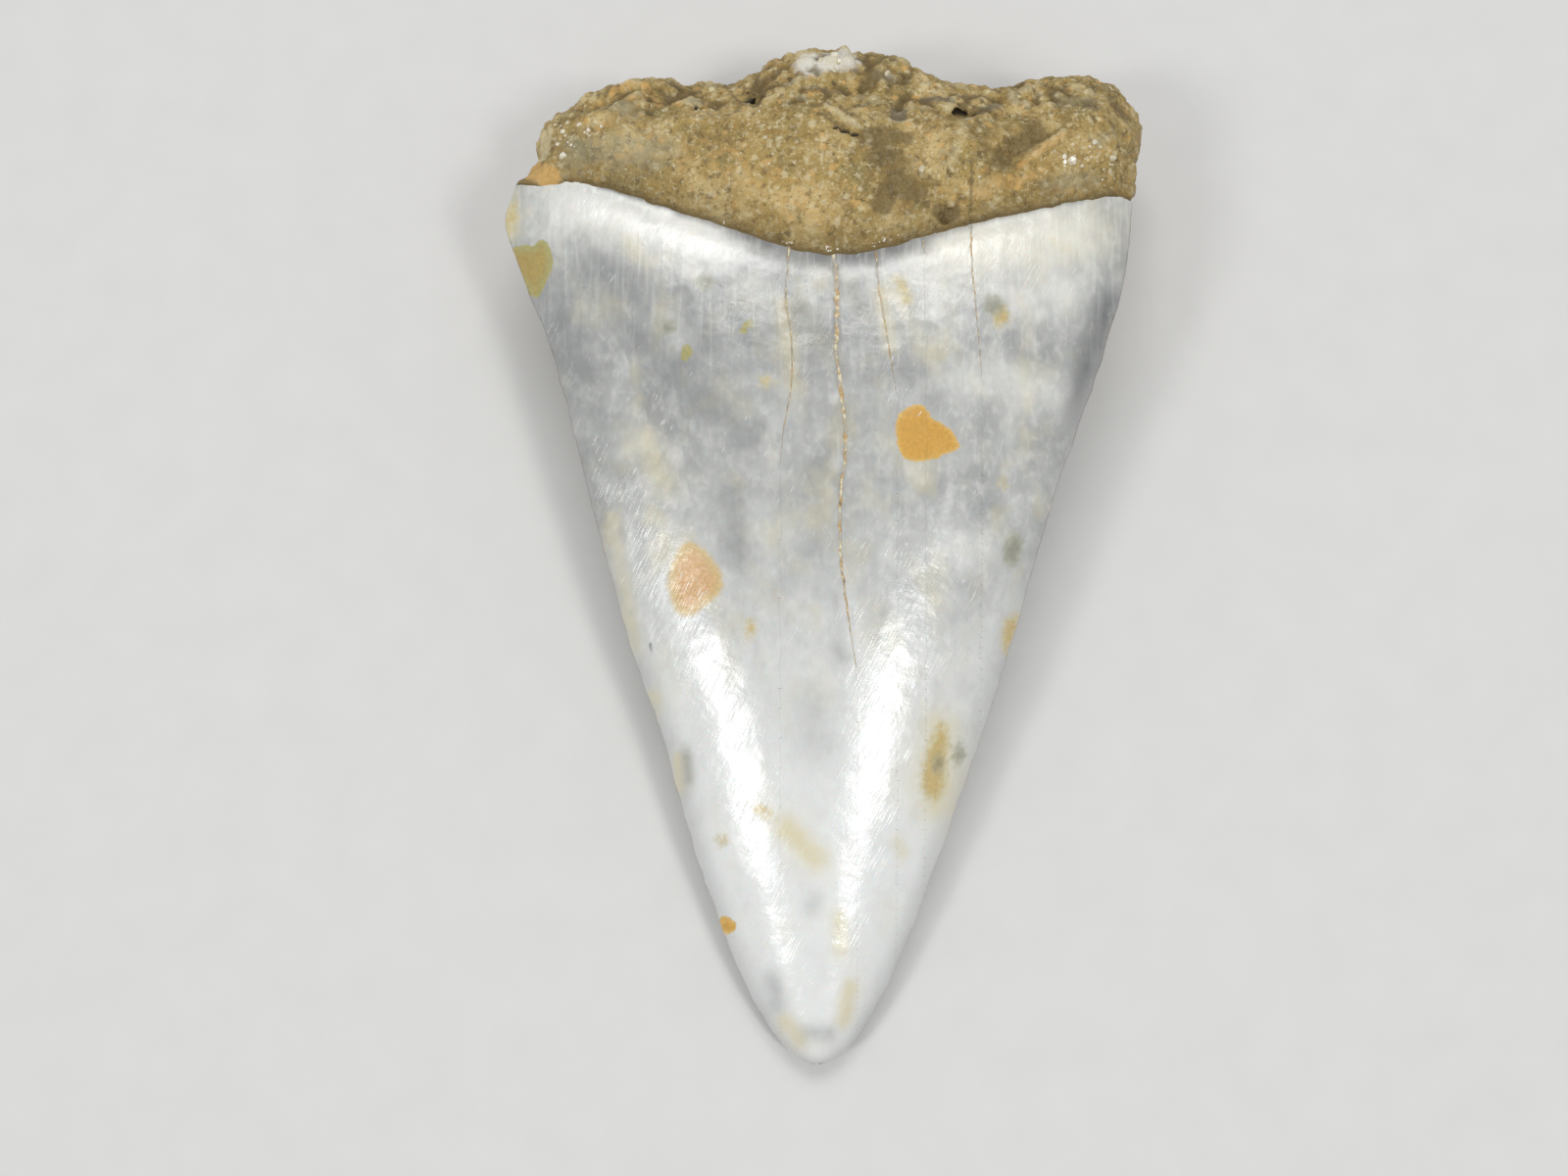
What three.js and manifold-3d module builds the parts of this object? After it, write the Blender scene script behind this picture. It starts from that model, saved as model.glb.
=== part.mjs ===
// A fossil mako shark tooth, lying with its flat outer face up and its bulging inner face down.
// Millimetres, +Z up. The tip points to -Y and the root to +Y; the origin is under the middle of the tooth.
// Crown and root grew as one piece, so the tooth is one solid: two sheets, the outer (labial) face and the
// inner (lingual) face, that meet all the way round along the cutting edges and the root's rim.
import * as THREE from 'three';
import { ImprovedNoise } from 'three/addons/math/ImprovedNoise.js';
import { mergeGeometries, mergeVertices } from 'three/addons/utils/BufferGeometryUtils.js';
import Module from 'manifold-3d';

const { clamp, lerp, smoothstep } = THREE.MathUtils;

// Stations run along the tooth: 0 is the tip, 1 the enamel line and 2 the root's far rim.
const ENAMEL_LINE = 1;
const RIM = 2;

// Outline seen from above, as x and y. Each side runs from the tip to the enamel line, then round the root.
const CROWN_LEFT = [[-1.0, -29.2], [-2.3, -28.6], [-3.7, -26.8], [-5.4, -23.6], [-7.8, -17.2], [-9.6, -10.8],
  [-10.9, -7.6], [-13.6, 2.0], [-15.3, 8.6], [-17.2, 13.6], [-18.4, 16.7], [-18.5, 17.9], [-18.0, 19.4]];
const CROWN_RIGHT = [[-0.7, -29.2], [0.7, -28.6], [2.0, -26.8], [3.7, -23.6], [6.2, -17.2], [9.6, -7.6],
  [12.5, 2.0], [14.9, 8.6], [16.4, 13.6], [16.8, 16.7], [17.0, 18.3]];
const ROOT_LEFT = [[-18.0, 19.4], [-17.6, 20.5], [-17.1, 21.6], [-17.2, 23.2], [-16.6, 24.7]];
const ROOT_RIGHT = [[17.0, 18.3], [17.6, 19.8], [18.1, 21.6], [18.5, 23.8], [18.0, 25.5]];

// Lines across the tooth, as x and y: the root's far rim, and where the enamel ends on either face.
const ROOT_RIM = [[-16.6, 24.7], [-14.8, 25.8], [-11.5, 27.0], [-8.3, 26.9], [-5.2, 27.0], [-3.6, 28.1],
  [-1.2, 29.1], [1.5, 29.1], [4.2, 28.4], [6.4, 27.0], [8.5, 26.7], [11.0, 26.7], [13.0, 27.1], [16.0, 27.0],
  [18.0, 25.5]];
const LABIAL_ENAMEL = [[-18.0, 19.4], [-16.6, 19.1], [-14.2, 19.1], [-11.6, 18.3], [-8.3, 17.1], [-5.6, 16.2],
  [-3.7, 15.5], [-1.7, 14.9], [0.2, 14.7], [2.2, 14.9], [4.8, 15.6], [7.1, 16.3], [11.4, 17.4], [14.1, 18.1],
  [16.2, 18.5], [17.0, 18.3]];
const LINGUAL_ENAMEL = [[-18.0, 19.4], [-13.0, 16.7], [-8.0, 12.7], [-4.0, 9.5], [0.0, 8.3], [4.0, 9.5],
  [8.0, 12.7], [12.5, 16.1], [17.0, 18.3]];

// Side view, as station and height: the outer face, the cutting edge and root end, and the inner face.
const LABIAL_HEIGHT = [[0, 3.0], [0.1, 4.1], [0.25, 5.7], [0.5, 8.2], [0.75, 10.1], [1, 11.2], [1.25, 11.9],
  [1.55, 11.9], [1.7, 11.0], [1.85, 10.7], [2, 10.2]];
const EDGE_HEIGHT = [[0, 1.5], [0.1, 2.1], [0.25, 3.3], [0.5, 5.6], [0.75, 8.0], [1, 9.6], [1.3, 7.6],
  [1.6, 6.6], [2, 6.4]];
const LINGUAL_HEIGHT = [[0, 0.3], [0.1, -0.1], [0.25, 0.1], [0.5, 0.8], [0.75, 1.4], [1, 2.2], [1.15, 1.0],
  [1.35, -0.3], [1.6, -0.2], [1.8, 1.2], [2, 3.0]];

// Cross-sections, as station and power: 2 is a plain arch and more is flatter on top with tighter shoulders.
const LABIAL_FLATNESS = [[0, 2.0], [0.4, 2.1], [0.7, 2.7], [1, 3.5], [1.4, 5.0], [2, 5.0]];
const LINGUAL_FLATNESS = [[0, 2.0], [1, 2.0], [1.4, 4.5], [2, 4.5]];
// The same, for how upright the shoulders stand: 1 leaves a sharp cutting edge and 0.5 a round one.
const SHOULDER = [[0, 0.85], [0.9, 0.9], [1.05, 0.8], [1.35, 0.5], [2, 0.5]];

const TIP_ROUNDING = 0.05; // stations over which the tip closes
const RIM_CLOSING = 4; // power by which the root closes at its rim
const BOW_FADE = 2.2; // power by which the enamel line's bend fades towards the tip
const TORUS_HALF_WIDTH = [4, 10.5]; // where the root's inner bulge starts to fall away, and where it has
const LOBE_LIFT = 3.0; // how far the root's two lobes stand off the ground beside that bulge
// The groove along the enamel line: its depth, and how many stations it reaches over the crown and the root.
const GROOVE = { depth: 0.3, overCrown: 0.015, overRoot: 0.03 };
// The hollow down the outer face. Its half-width is a share of the face's, and it fades over stations.
const FACE_DIP = { depth: 0.35, halfWidth: 0.3, fadeIn: [0.35, 0.85], fadeOut: [0.9, 1.1] };
const RELIEF_FADE = [1.0, 1.25]; // stations over which the root's swells and lobes set in
const LUMPS_FADE = [1.02, 1.15]; // stations over which its rough surface sets in

// Swells and hollows of the root: middle, half-widths and height.
const LABIAL_RELIEF = [
  { at: [-1.5, 17.2], size: [5, 2.5], height: 0.35 }, // central swell above the enamel line
  { at: [4.6, 20.3], size: [1.8, 2.6], height: -0.45 }, // furrow right of the swell
  { at: [8.0, 19.2], size: [1.4, 3.0], height: 0.35 }, // rib beside the furrow
  { at: [10.8, 22.1], size: [2.2, 1.8], height: -0.8 }, // hollow under the right lobe
  { at: [15.2, 23.3], size: [2.2, 2.0], height: 0.3 }, // right lobe
  { at: [-13.5, 24.3], size: [2.6, 1.2], height: -0.5 }, // worn corner of the left lobe
  { at: [2.4, 24.7], size: [1.6, 1.0], height: -0.5 }, // hollow under the hump
];
const LINGUAL_RELIEF = [
  { at: [-9.5, 16.2], size: [2.6, 3.2], height: -0.7 }, // hollow left of the bulge
  { at: [9.8, 16.2], size: [2.6, 3.2], height: -0.7 }, // hollow right of it
  { at: [0.5, 22.9], size: [0.9, 3.0], height: -0.8 }, // nutrient groove over the bulge
];
const LUMPS = [{ spacing: 3.2, height: 0.28 }, { spacing: 1.4, height: 0.14 }]; // worn bone, all over the root

// Nutrient pores in the root: mouth, radius and depth. The last opens on the inner face.
const PORES = [
  { at: [-4.5, 24.2], radius: 0.32, depth: 0.9, face: 'labial' },
  { at: [7.2, 23.4], radius: 0.4, depth: 1.0, face: 'labial' },
  { at: [-7.6, 23.5], radius: 0.25, depth: 0.7, face: 'labial' },
  { at: [6.2, 16.6], radius: 0.45, depth: 0.8, face: 'labial' },
  { at: [0.5, 21.3], radius: 0.7, depth: 1.6, face: 'lingual' },
];
const PORE_SIDES = 8;

const COLUMNS = 44;
const CROWN_ROWS = 30;
const ROOT_ROWS = 22;
// How much closer the grid's lines are at either end than in the middle, from 0 to 1.
const CROWDING = { columns: 0.5, crownRows: 0.7, rootRows: 0.7 };
const WELD = 1e-4; // distance under which two corners are one
const CLEAR = 50; // a height well outside the tooth

// A smooth function through pairs of place and value.
function through(pairs) {
  const interpolant = new THREE.CubicInterpolant(pairs.map((p) => p[0]), pairs.map((p) => p[1]), 1);
  return (place) => interpolant.evaluate(clamp(place, pairs[0][0], pairs.at(-1)[0]))[0];
}

// A side of the outline as a function of station, made of its crown stretch and its root stretch.
function side(crownPoints, rootPoints) {
  const [crown, root] = [crownPoints, rootPoints].map(
    (points) => new THREE.SplineCurve(points.map(([x, y]) => new THREE.Vector2(x, y))),
  );
  return (station) => {
    if (station < ENAMEL_LINE) return crown.getPointAt(station);
    return root.getPointAt(station - ENAMEL_LINE);
  };
}

const leftSide = side(CROWN_LEFT, ROOT_LEFT);
const rightSide = side(CROWN_RIGHT, ROOT_RIGHT);
const rootRim = through(ROOT_RIM);
const edgeHeight = through(EDGE_HEIGHT);
const shoulder = through(SHOULDER);

const LABIAL = {
  enamelLine: through(LABIAL_ENAMEL),
  height: through(LABIAL_HEIGHT),
  flatness: through(LABIAL_FLATNESS),
  relief: LABIAL_RELIEF,
  outward: 1,
};
const LINGUAL = {
  enamelLine: through(LINGUAL_ENAMEL),
  height: through(LINGUAL_HEIGHT),
  flatness: through(LINGUAL_FLATNESS),
  relief: LINGUAL_RELIEF,
  outward: -1,
};

// How much of its full thickness the tooth has at a station: it closes at the tip and at the root's rim.
function closing(station) {
  const fromTip = clamp(1 - station / TIP_ROUNDING, 0, 1);
  const intoRoot = clamp(station - ENAMEL_LINE, 0, 1);
  return Math.sqrt(1 - fromTip ** 2) * Math.sqrt(1 - intoRoot ** RIM_CLOSING);
}

// How far a line across the tooth bends away from the straight line between its two ends.
function bend(line, station, across) {
  const [left, right] = [leftSide(station), rightSide(station)];
  return line(lerp(left.x, right.x, across)) - lerp(left.y, right.y, across);
}

function bow(face, station, across) {
  const atEnamel = bend(face.enamelLine, ENAMEL_LINE, across);
  if (station < ENAMEL_LINE) return atEnamel * station ** BOW_FADE;
  return lerp(atEnamel, bend(rootRim, RIM, across), station - ENAMEL_LINE);
}

function reliefAt(swells, x, y) {
  const heights = swells.map(({ at, size, height }) =>
    height * Math.exp(-(((x - at[0]) / size[0]) ** 2) - ((y - at[1]) / size[1]) ** 2));
  return heights.reduce((sum, height) => sum + height, 0);
}

// The groove where the enamel laps over the root: it rolls down on the crown's side and ends in a small ledge.
function enamelGroove(station) {
  const reach = station < ENAMEL_LINE ? GROOVE.overCrown : GROOVE.overRoot;
  return -GROOVE.depth * Math.exp(-(((station - ENAMEL_LINE) / reach) ** 2));
}

function faceDip(station, u) {
  const along = smoothstep(station, ...FACE_DIP.fadeIn) * (1 - smoothstep(station, ...FACE_DIP.fadeOut));
  return -FACE_DIP.depth * along * Math.exp(-((u / FACE_DIP.halfWidth) ** 2));
}

// A point of one face: u runs from -1 on the left side to 1 on the right.
function facePoint(face, u, station) {
  const across = (u + 1) / 2;
  const [left, right] = [leftSide(station), rightSide(station)];
  const x = lerp(left.x, right.x, across);
  const y = lerp(left.y, right.y, across) + bow(face, station, across);
  const section = (1 - Math.abs(u) ** face.flatness(station)) ** shoulder(station) * closing(station);
  const inRoot = smoothstep(station, ...RELIEF_FADE);
  let rise = face.outward * (face.height(station) - edgeHeight(station));
  rise += inRoot * reliefAt(face.relief, x, y) + enamelGroove(station);
  if (face === LABIAL) rise += faceDip(station, u);
  else rise -= inRoot * LOBE_LIFT * smoothstep(Math.abs(x), ...TORUS_HALF_WIDTH);
  return new THREE.Vector3(x, y, edgeHeight(station) + face.outward * rise * section);
}

// Spacing from 0 to 1 that is closer at both ends.
const eased = (share, amount) => lerp(share, (1 - Math.cos(Math.PI * share)) / 2, amount);

// A face as a grid of quads. The plane's rows become stations, and its columns places across the tooth.
function faceSheet(face) {
  const rows = CROWN_ROWS + ROOT_ROWS;
  const sheet = new THREE.PlaneGeometry(2, rows, COLUMNS, rows);
  const places = sheet.getAttribute('position');
  const stations = new Float32Array(places.count);
  for (let i = 0; i < places.count; i += 1) {
    const row = Math.round(places.getY(i) + rows / 2);
    const inCrown = row <= CROWN_ROWS;
    stations[i] = inCrown ? eased(row / CROWN_ROWS, CROWDING.crownRows)
      : ENAMEL_LINE + eased((row - CROWN_ROWS) / ROOT_ROWS, CROWDING.rootRows);
    const u = 2 * eased((places.getX(i) + 1) / 2, CROWDING.columns) - 1;
    places.setXYZ(i, ...facePoint(face, u * face.outward, stations[i]));
  }
  sheet.setAttribute('station', new THREE.BufferAttribute(stations, 1));
  return sheet.deleteAttribute('normal').deleteAttribute('uv');
}

// Lumps of worn bone all over the root, along its own normals.
function roughenRoot(tooth) {
  const noise = new ImprovedNoise();
  tooth.computeVertexNormals();
  const { position, normal, station } = tooth.attributes;
  const place = new THREE.Vector3();
  const outward = new THREE.Vector3();
  for (let i = 0; i < position.count; i += 1) {
    place.fromBufferAttribute(position, i);
    outward.fromBufferAttribute(normal, i);
    const lumps = LUMPS.map(({ spacing, height }) =>
      height * noise.noise(place.x / spacing, place.y / spacing, place.z / spacing));
    const amount = smoothstep(station.getX(i), ...LUMPS_FADE) * lumps.reduce((sum, lump) => sum + lump, 0);
    place.addScaledVector(outward, amount);
    position.setXYZ(i, ...place);
  }
}

// The tooth lies on its inner bulge and near its tip, where wear has left flats at height 0.
function setDown(tooth) {
  const { position } = tooth.attributes;
  for (let i = 0; i < position.count; i += 1) position.setZ(i, Math.max(position.getZ(i), 0));
  tooth.computeBoundingBox();
  const middle = tooth.boundingBox.getCenter(new THREE.Vector3());
  tooth.translate(-middle.x, -middle.y, 0);
}

const wasm = await Module();
wasm.setup();

function solidFrom(geometry) {
  const bare = geometry.index ? geometry.toNonIndexed() : geometry.clone();
  const extras = Object.keys(bare.attributes).filter((name) => name !== 'position');
  extras.forEach((name) => bare.deleteAttribute(name));
  const merged = mergeVertices(bare, WELD);
  return new wasm.Manifold(new wasm.Mesh({
    numProp: 3,
    vertProperties: new Float32Array(merged.attributes.position.array),
    triVerts: new Uint32Array(merged.index.array),
  }));
}

function geometryFrom(solid) {
  const mesh = solid.getMesh();
  const geometry = new THREE.BufferGeometry();
  geometry.setAttribute('position', new THREE.BufferAttribute(mesh.vertProperties, mesh.numProp));
  geometry.setIndex(new THREE.BufferAttribute(mesh.triVerts, 1));
  geometry.computeVertexNormals();
  return geometry;
}

// A pore is a cone that is sunk into the surface under its mouth.
function poreCutter(pore, surface) {
  const down = new THREE.Vector3(0, 0, pore.face === 'labial' ? -1 : 1);
  const start = new THREE.Vector3(...pore.at, 0).addScaledVector(down, -CLEAR);
  const mouth = new THREE.Raycaster(start, down).intersectObject(surface)[0].point;
  const cone = new THREE.ConeGeometry(2 * pore.radius, 2 * pore.depth, PORE_SIDES);
  if (pore.face === 'labial') cone.rotateX(-Math.PI / 2);
  else cone.rotateX(Math.PI / 2);
  return cone.translate(mouth.x, mouth.y, mouth.z);
}

function toothGeometry() {
  const whole = mergeVertices(mergeGeometries([faceSheet(LABIAL), faceSheet(LINGUAL)]), WELD);
  roughenRoot(whole);
  setDown(whole);
  const surface = new THREE.Mesh(whole, new THREE.MeshBasicMaterial({ side: THREE.DoubleSide }));
  const cutters = PORES.map((pore) => solidFrom(poreCutter(pore, surface)));
  return geometryFrom(cutters.reduce((solid, cutter) => solid.subtract(cutter), solidFrom(whole)));
}

const tooth = new THREE.Mesh(
  toothGeometry(),
  new THREE.MeshStandardMaterial({ color: 0xb6babf, roughness: 0.3, metalness: 0 }),
);
tooth.name = 'tooth';

const fossil = new THREE.Group();
fossil.add(tooth);

export default fossil;
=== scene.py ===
"""The looks of a fossil mako shark tooth: glossy worn enamel, stained and cracked, on a rough bony root.

The tooth lies with its outer (labial) face up, its tip towards -Y and its root towards +Y. Objects are in
metres in the frame of the CAD model. The sizes and places in the classes are millimetres in that frame.
"""

import logging
import math
import random
from dataclasses import dataclass, field
from enum import Enum
from typing import Iterable

import bmesh
import bpy
import numpy as np
from mathutils import Euler, Matrix, Vector, kdtree, noise


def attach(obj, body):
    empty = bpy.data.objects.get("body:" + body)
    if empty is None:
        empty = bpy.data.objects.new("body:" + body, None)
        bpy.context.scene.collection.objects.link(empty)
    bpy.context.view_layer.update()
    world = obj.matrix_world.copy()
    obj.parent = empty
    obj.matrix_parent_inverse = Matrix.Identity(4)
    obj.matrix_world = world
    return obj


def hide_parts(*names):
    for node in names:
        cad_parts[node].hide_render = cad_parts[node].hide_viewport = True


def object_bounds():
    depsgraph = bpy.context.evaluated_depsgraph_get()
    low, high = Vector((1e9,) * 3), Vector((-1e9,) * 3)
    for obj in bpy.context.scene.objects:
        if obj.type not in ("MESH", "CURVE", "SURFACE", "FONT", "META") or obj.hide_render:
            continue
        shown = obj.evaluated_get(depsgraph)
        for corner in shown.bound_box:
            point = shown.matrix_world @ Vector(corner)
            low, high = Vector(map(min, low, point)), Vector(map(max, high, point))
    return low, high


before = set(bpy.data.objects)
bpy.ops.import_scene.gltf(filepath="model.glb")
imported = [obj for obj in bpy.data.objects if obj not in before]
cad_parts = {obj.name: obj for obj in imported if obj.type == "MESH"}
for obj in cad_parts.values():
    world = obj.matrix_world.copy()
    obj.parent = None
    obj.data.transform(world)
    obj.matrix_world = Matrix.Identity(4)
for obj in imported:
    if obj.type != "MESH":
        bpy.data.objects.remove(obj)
cad_low, cad_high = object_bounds()

log = logging.getLogger("tooth")

MM = 0.001  # metres in a millimetre
TINY = 1e-9  # keeps a division from 0
NO_MARK = 50.0  # what a distance attribute holds far from any mark, in its own unit
Point = tuple[float, float]
Tints = tuple[tuple[float, str], ...]  # values of a mottling, and the hex colour at each
Inputs = dict[str | int, object]

# Settings of shader nodes.
TIMES = {"operation": "MULTIPLY"}
TIMES_PLUS = {"operation": "MULTIPLY_ADD"}
EASED = {"interpolation_type": "SMOOTHSTEP"}
COLOURS = {"data_type": "RGBA"}

CAD_NODE = "tooth"
BODY = "root"

# Where the enamel ends on the outer and the inner face, as in the CAD model.
LABIAL_ENAMEL = ((-18.0, 19.4), (-16.6, 19.1), (-14.2, 19.1), (-11.6, 18.3), (-8.3, 17.1), (-5.6, 16.2),
                 (-3.7, 15.5), (-1.7, 14.9), (0.2, 14.7), (2.2, 14.9), (4.8, 15.6), (7.1, 16.3),
                 (11.4, 17.4), (14.1, 18.1), (16.2, 18.5), (17.0, 18.3))
LINGUAL_ENAMEL = ((-18.0, 19.4), (-13.0, 16.7), (-8.0, 12.7), (-4.0, 9.5), (0.0, 8.3), (4.0, 9.5),
                  (8.0, 12.7), (12.5, 16.1), (17.0, 18.3))


class Mark(Enum):
    """Something that the tooth's vertices carry. Each names the vertex attribute that holds it."""


class Stain(Mark):
    """Stains with an edge. Their attributes hold the millimetres outside that edge."""

    ORANGE = "stain_orange"
    TAN = "stain_tan"
    OLIVE = "stain_olive"
    YELLOW = "stain_yellow"
    GREY = "stain_grey"
    SPECK = "stain_speck"


class Wash(Mark):
    """Tints that fade out. Their attributes hold their strength, from 0 to about 1."""

    # Pale patches and painted sheen: the broad strokes along the enamel's end paint part of the sheen of
    # the lamp behind.
    PALE = "wash_pale_and_sheen"
    SLATE = "wash_slate"
    CREAM = "wash_cream"
    SMOKE = "wash_smoke"
    # Painted shade: the shadow under the root's edge along the enamel's end, where the thin enamel is
    # greyer too, and the dark where the right edge turns down.
    SHADE = "wash_shade"
    # Scuffed zones: deeper scratches, and painted white glints on the scuffs.
    SCUFF_AND_GLINT = "wash_scuff_and_glint"
    # Dark dirt, and painted shade in the furrows, the recesses and beside the rod.
    BONE_DARK = "wash_bone_dark"
    # Painted shade in the round dip of the root, under the hump and in the rim's recesses.
    BONE_HOLLOW_SHADE = "wash_bone_hollow_shade"
    BONE_GREY = "wash_bone_grey"
    BONE_ORANGE = "wash_bone_orange"
    BONE_WHITE = "wash_bone_white"
    BONE_PALE = "wash_bone_pale"


class Landmark(Mark):
    """Parts of the tooth. Their attributes hold how far off they are in millimetres, or how strong."""

    PAST_ENAMEL = "past_enamel"
    FROM_EDGE = "from_edge"
    NECK = "inner_neck"
    CRUST = "bone_crust"
    HOLE = "bone_hole"
    RIM = "bone_rim"


def linear(colour: str) -> tuple[float, float, float, float]:
    """Turns a colour to the values that a shader takes.

    Args:
        colour: An sRGB colour as a hex string, such as "#a0b0c0".

    Returns:
        Linear red, green, blue and an alpha of 1.
    """
    channels = [int(colour[i:i + 2], 16) / 255 for i in (1, 3, 5)]
    red, green, blue = (c / 12.92 if c <= 0.04045 else ((c + 0.055) / 1.055) ** 2.4 for c in channels)
    return red, green, blue, 1.0


def smoothstep(value: np.ndarray, low: float, high: float) -> np.ndarray:
    """Eases from 0 where the value is low to 1 where it is high.

    Args:
        value: The values.
        low: Where the result starts to rise.
        high: Where the result reaches 1.

    Returns:
        The eased values.
    """
    share = np.clip((value - low) / (high - low), 0, 1)
    return share * share * (3 - 2 * share)


def through(points: Iterable[Point], places: np.ndarray) -> np.ndarray:
    """Reads a smooth curve through points.

    Args:
        points: The curve's points, by rising place.
        places: Where to read it. Past its ends it stays level.

    Returns:
        The curve's values.
    """
    knots, values = np.array(points).T
    spans = np.diff(knots)
    chords = np.diff(values) / spans
    slopes = np.concatenate(([chords[0]], (chords[:-1] + chords[1:]) / 2, [chords[-1]]))
    places = np.clip(places, knots[0], knots[-1])
    k = np.clip(np.searchsorted(knots, places) - 1, 0, len(chords) - 1)
    t = (places - knots[k]) / spans[k]
    return ((1 + 2 * t) * (1 - t) ** 2 * values[k] + t * (1 - t) ** 2 * spans[k] * slopes[k]
            + t * t * (3 - 2 * t) * values[k + 1] + t * t * (t - 1) * spans[k] * slopes[k + 1])


@dataclass(frozen=True)
class Lumps:
    """Irregular lumps and hollows.

    Attributes:
        height: How far the largest stand out, in millimetres.
        octaves: How many sizes there are. Each is half as large and half as high as the last.
        width: The largest ones' size along X, in millimetres.
        length: Their size along Y and Z. At 0 they are as long as they are wide.
    """

    height: float
    octaves: int
    width: float
    length: float = 0.0

    def heights(self, places: np.ndarray) -> np.ndarray:
        """Reads the lumps.

        Args:
            places: Places in millimetres, one a row.

        Returns:
            The height of each place, in millimetres.
        """
        length = self.length or self.width
        scaled = (places / np.array([self.width, length, length])).tolist()
        fade, step = 1.0, 2.0
        return self.height * np.array([noise.fractal(place, fade, step, self.octaves) for place in scaled])


def nearest_cell(places: np.ndarray, spacing: float) -> np.ndarray:
    """Measures from the nearest of points that are strewn through space.

    Args:
        places: Places in millimetres, one a row.
        spacing: About how far the points are from each other, in millimetres.

    Returns:
        The distance of each place, in millimetres.
    """
    return np.array([noise.voronoi(place)[0][0] for place in (places / spacing).tolist()]) * spacing


def finder(places: np.ndarray) -> kdtree.KDTree:
    """Sorts places so that the nearest can be found.

    Args:
        places: The places, one a row.

    Returns:
        A tree that finds them, by the numbers of their rows.
    """
    tree = kdtree.KDTree(len(places))
    for i, place in enumerate(places):
        tree.insert(place, i)
    tree.balance()
    return tree


def put(name: str, data: bpy.types.ID) -> bpy.types.Object:
    """Adds an object to the scene.

    Args:
        name: Its name.
        data: Its mesh, lamp or camera.

    Returns:
        The object.
    """
    made = bpy.data.objects.new(name, data)
    bpy.context.scene.collection.objects.link(made)
    return made


def segment_distance(xy: np.ndarray, start: Point, end: Point) -> np.ndarray:
    """Measures from a straight segment.

    Args:
        xy: Places, one a row.
        start: The segment's start.
        end: The segment's end, which may be its start too.

    Returns:
        The distance of each place.
    """
    along = np.subtract(end, start)
    offset = xy - np.array(start)
    share = np.clip(offset @ along / max(along @ along, TINY), 0, 1)
    return np.linalg.norm(offset - share[:, None] * along, axis=1)


@dataclass(frozen=True)
class Surface:
    """A mesh's vertices in millimetres, and how they lie to the tooth's landmarks.

    Attributes:
        places: The vertices, one a row.
        normals: Their normals.
        labial: Whether each belongs to the outer face.
        past_enamel: How far past the enamel's end each lies, towards the root's rim.
        from_edge: How far each lies from the rim where the two faces meet.
    """

    places: np.ndarray
    normals: np.ndarray
    labial: np.ndarray
    past_enamel: np.ndarray
    from_edge: np.ndarray

    @classmethod
    def of(cls, mesh: bpy.types.Mesh) -> "Surface":
        """Measures a mesh of the tooth.

        Args:
            mesh: The mesh, in metres.

        Returns:
            Its vertices as a surface.
        """
        places = np.empty(len(mesh.vertices) * 3)
        normals = np.empty(len(mesh.vertices) * 3)
        mesh.vertices.foreach_get("co", places)
        mesh.vertices.foreach_get("normal", normals)
        places = places.reshape(-1, 3) / MM
        normals = normals.reshape(-1, 3)
        labial = normals[:, 2] > 0
        x, y = places[:, 0], places[:, 1]
        enamel_end = np.where(labial, through(LABIAL_ENAMEL, x), through(LINGUAL_ENAMEL, x))
        return cls(places, normals, labial, y - enamel_end, cls._rim_distance(mesh, places, labial))

    @staticmethod
    def _rim_distance(mesh: bpy.types.Mesh, places: np.ndarray, labial: np.ndarray) -> np.ndarray:
        """Measures how far each vertex is from the edges that join the two faces.

        Args:
            mesh: The mesh.
            places: Its vertices in millimetres.
            labial: Whether each belongs to the outer face.

        Returns:
            The distances in millimetres.
        """
        ends = np.empty(len(mesh.edges) * 2, int)
        mesh.edges.foreach_get("vertices", ends)
        ends = ends.reshape(-1, 2)
        rim = finder(places[ends[labial[ends[:, 0]] != labial[ends[:, 1]]]].mean(axis=1))
        return np.array([rim.find(place)[2] for place in places])


@dataclass(frozen=True)
class Outline:
    """A closed smooth outline on the tooth, seen from above.

    Attributes:
        corners: Points that the outline runs through, in millimetres.
        steps: Straight stretches between one point and the next.
    """

    corners: tuple[Point, ...]
    steps: int = 5

    def distance(self, xy: np.ndarray) -> np.ndarray:
        """Measures from the outline.

        Args:
            xy: Places in millimetres, one a row.

        Returns:
            The distance of each place, below 0 inside.
        """
        starts = self._curve()
        along = np.roll(starts, -1, axis=0) - starts
        offset = xy[:, None] - starts
        share = np.clip((offset * along).sum(-1) / (along ** 2).sum(-1), 0, 1)
        nearest = np.linalg.norm(offset - share[..., None] * along, axis=-1).min(axis=1)
        below, ends_below = offset[..., 1] < 0, offset[..., 1] < along[:, 1]
        with np.errstate(divide="ignore", invalid="ignore"):
            left = offset[..., 0] < offset[..., 1] * along[:, 0] / along[:, 1]
        inside = ((below != ends_below) & left).sum(axis=1) % 2 == 1
        return np.where(inside, -nearest, nearest)

    def _curve(self) -> np.ndarray:
        """Returns points along the closed curve, a row each."""
        before, start, end, after = (np.roll(self.corners, shift, axis=0) for shift in (1, 0, -1, -2))
        shares = np.arange(self.steps) / self.steps
        points = [start + t * (end - before) / 2 + t * t * (before - 2.5 * start + 2 * end - after / 2)
                  + t ** 3 * (1.5 * (start - end) + (after - before) / 2) for t in shares]
        return np.stack(points, axis=1).reshape(-1, 2)


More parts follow.
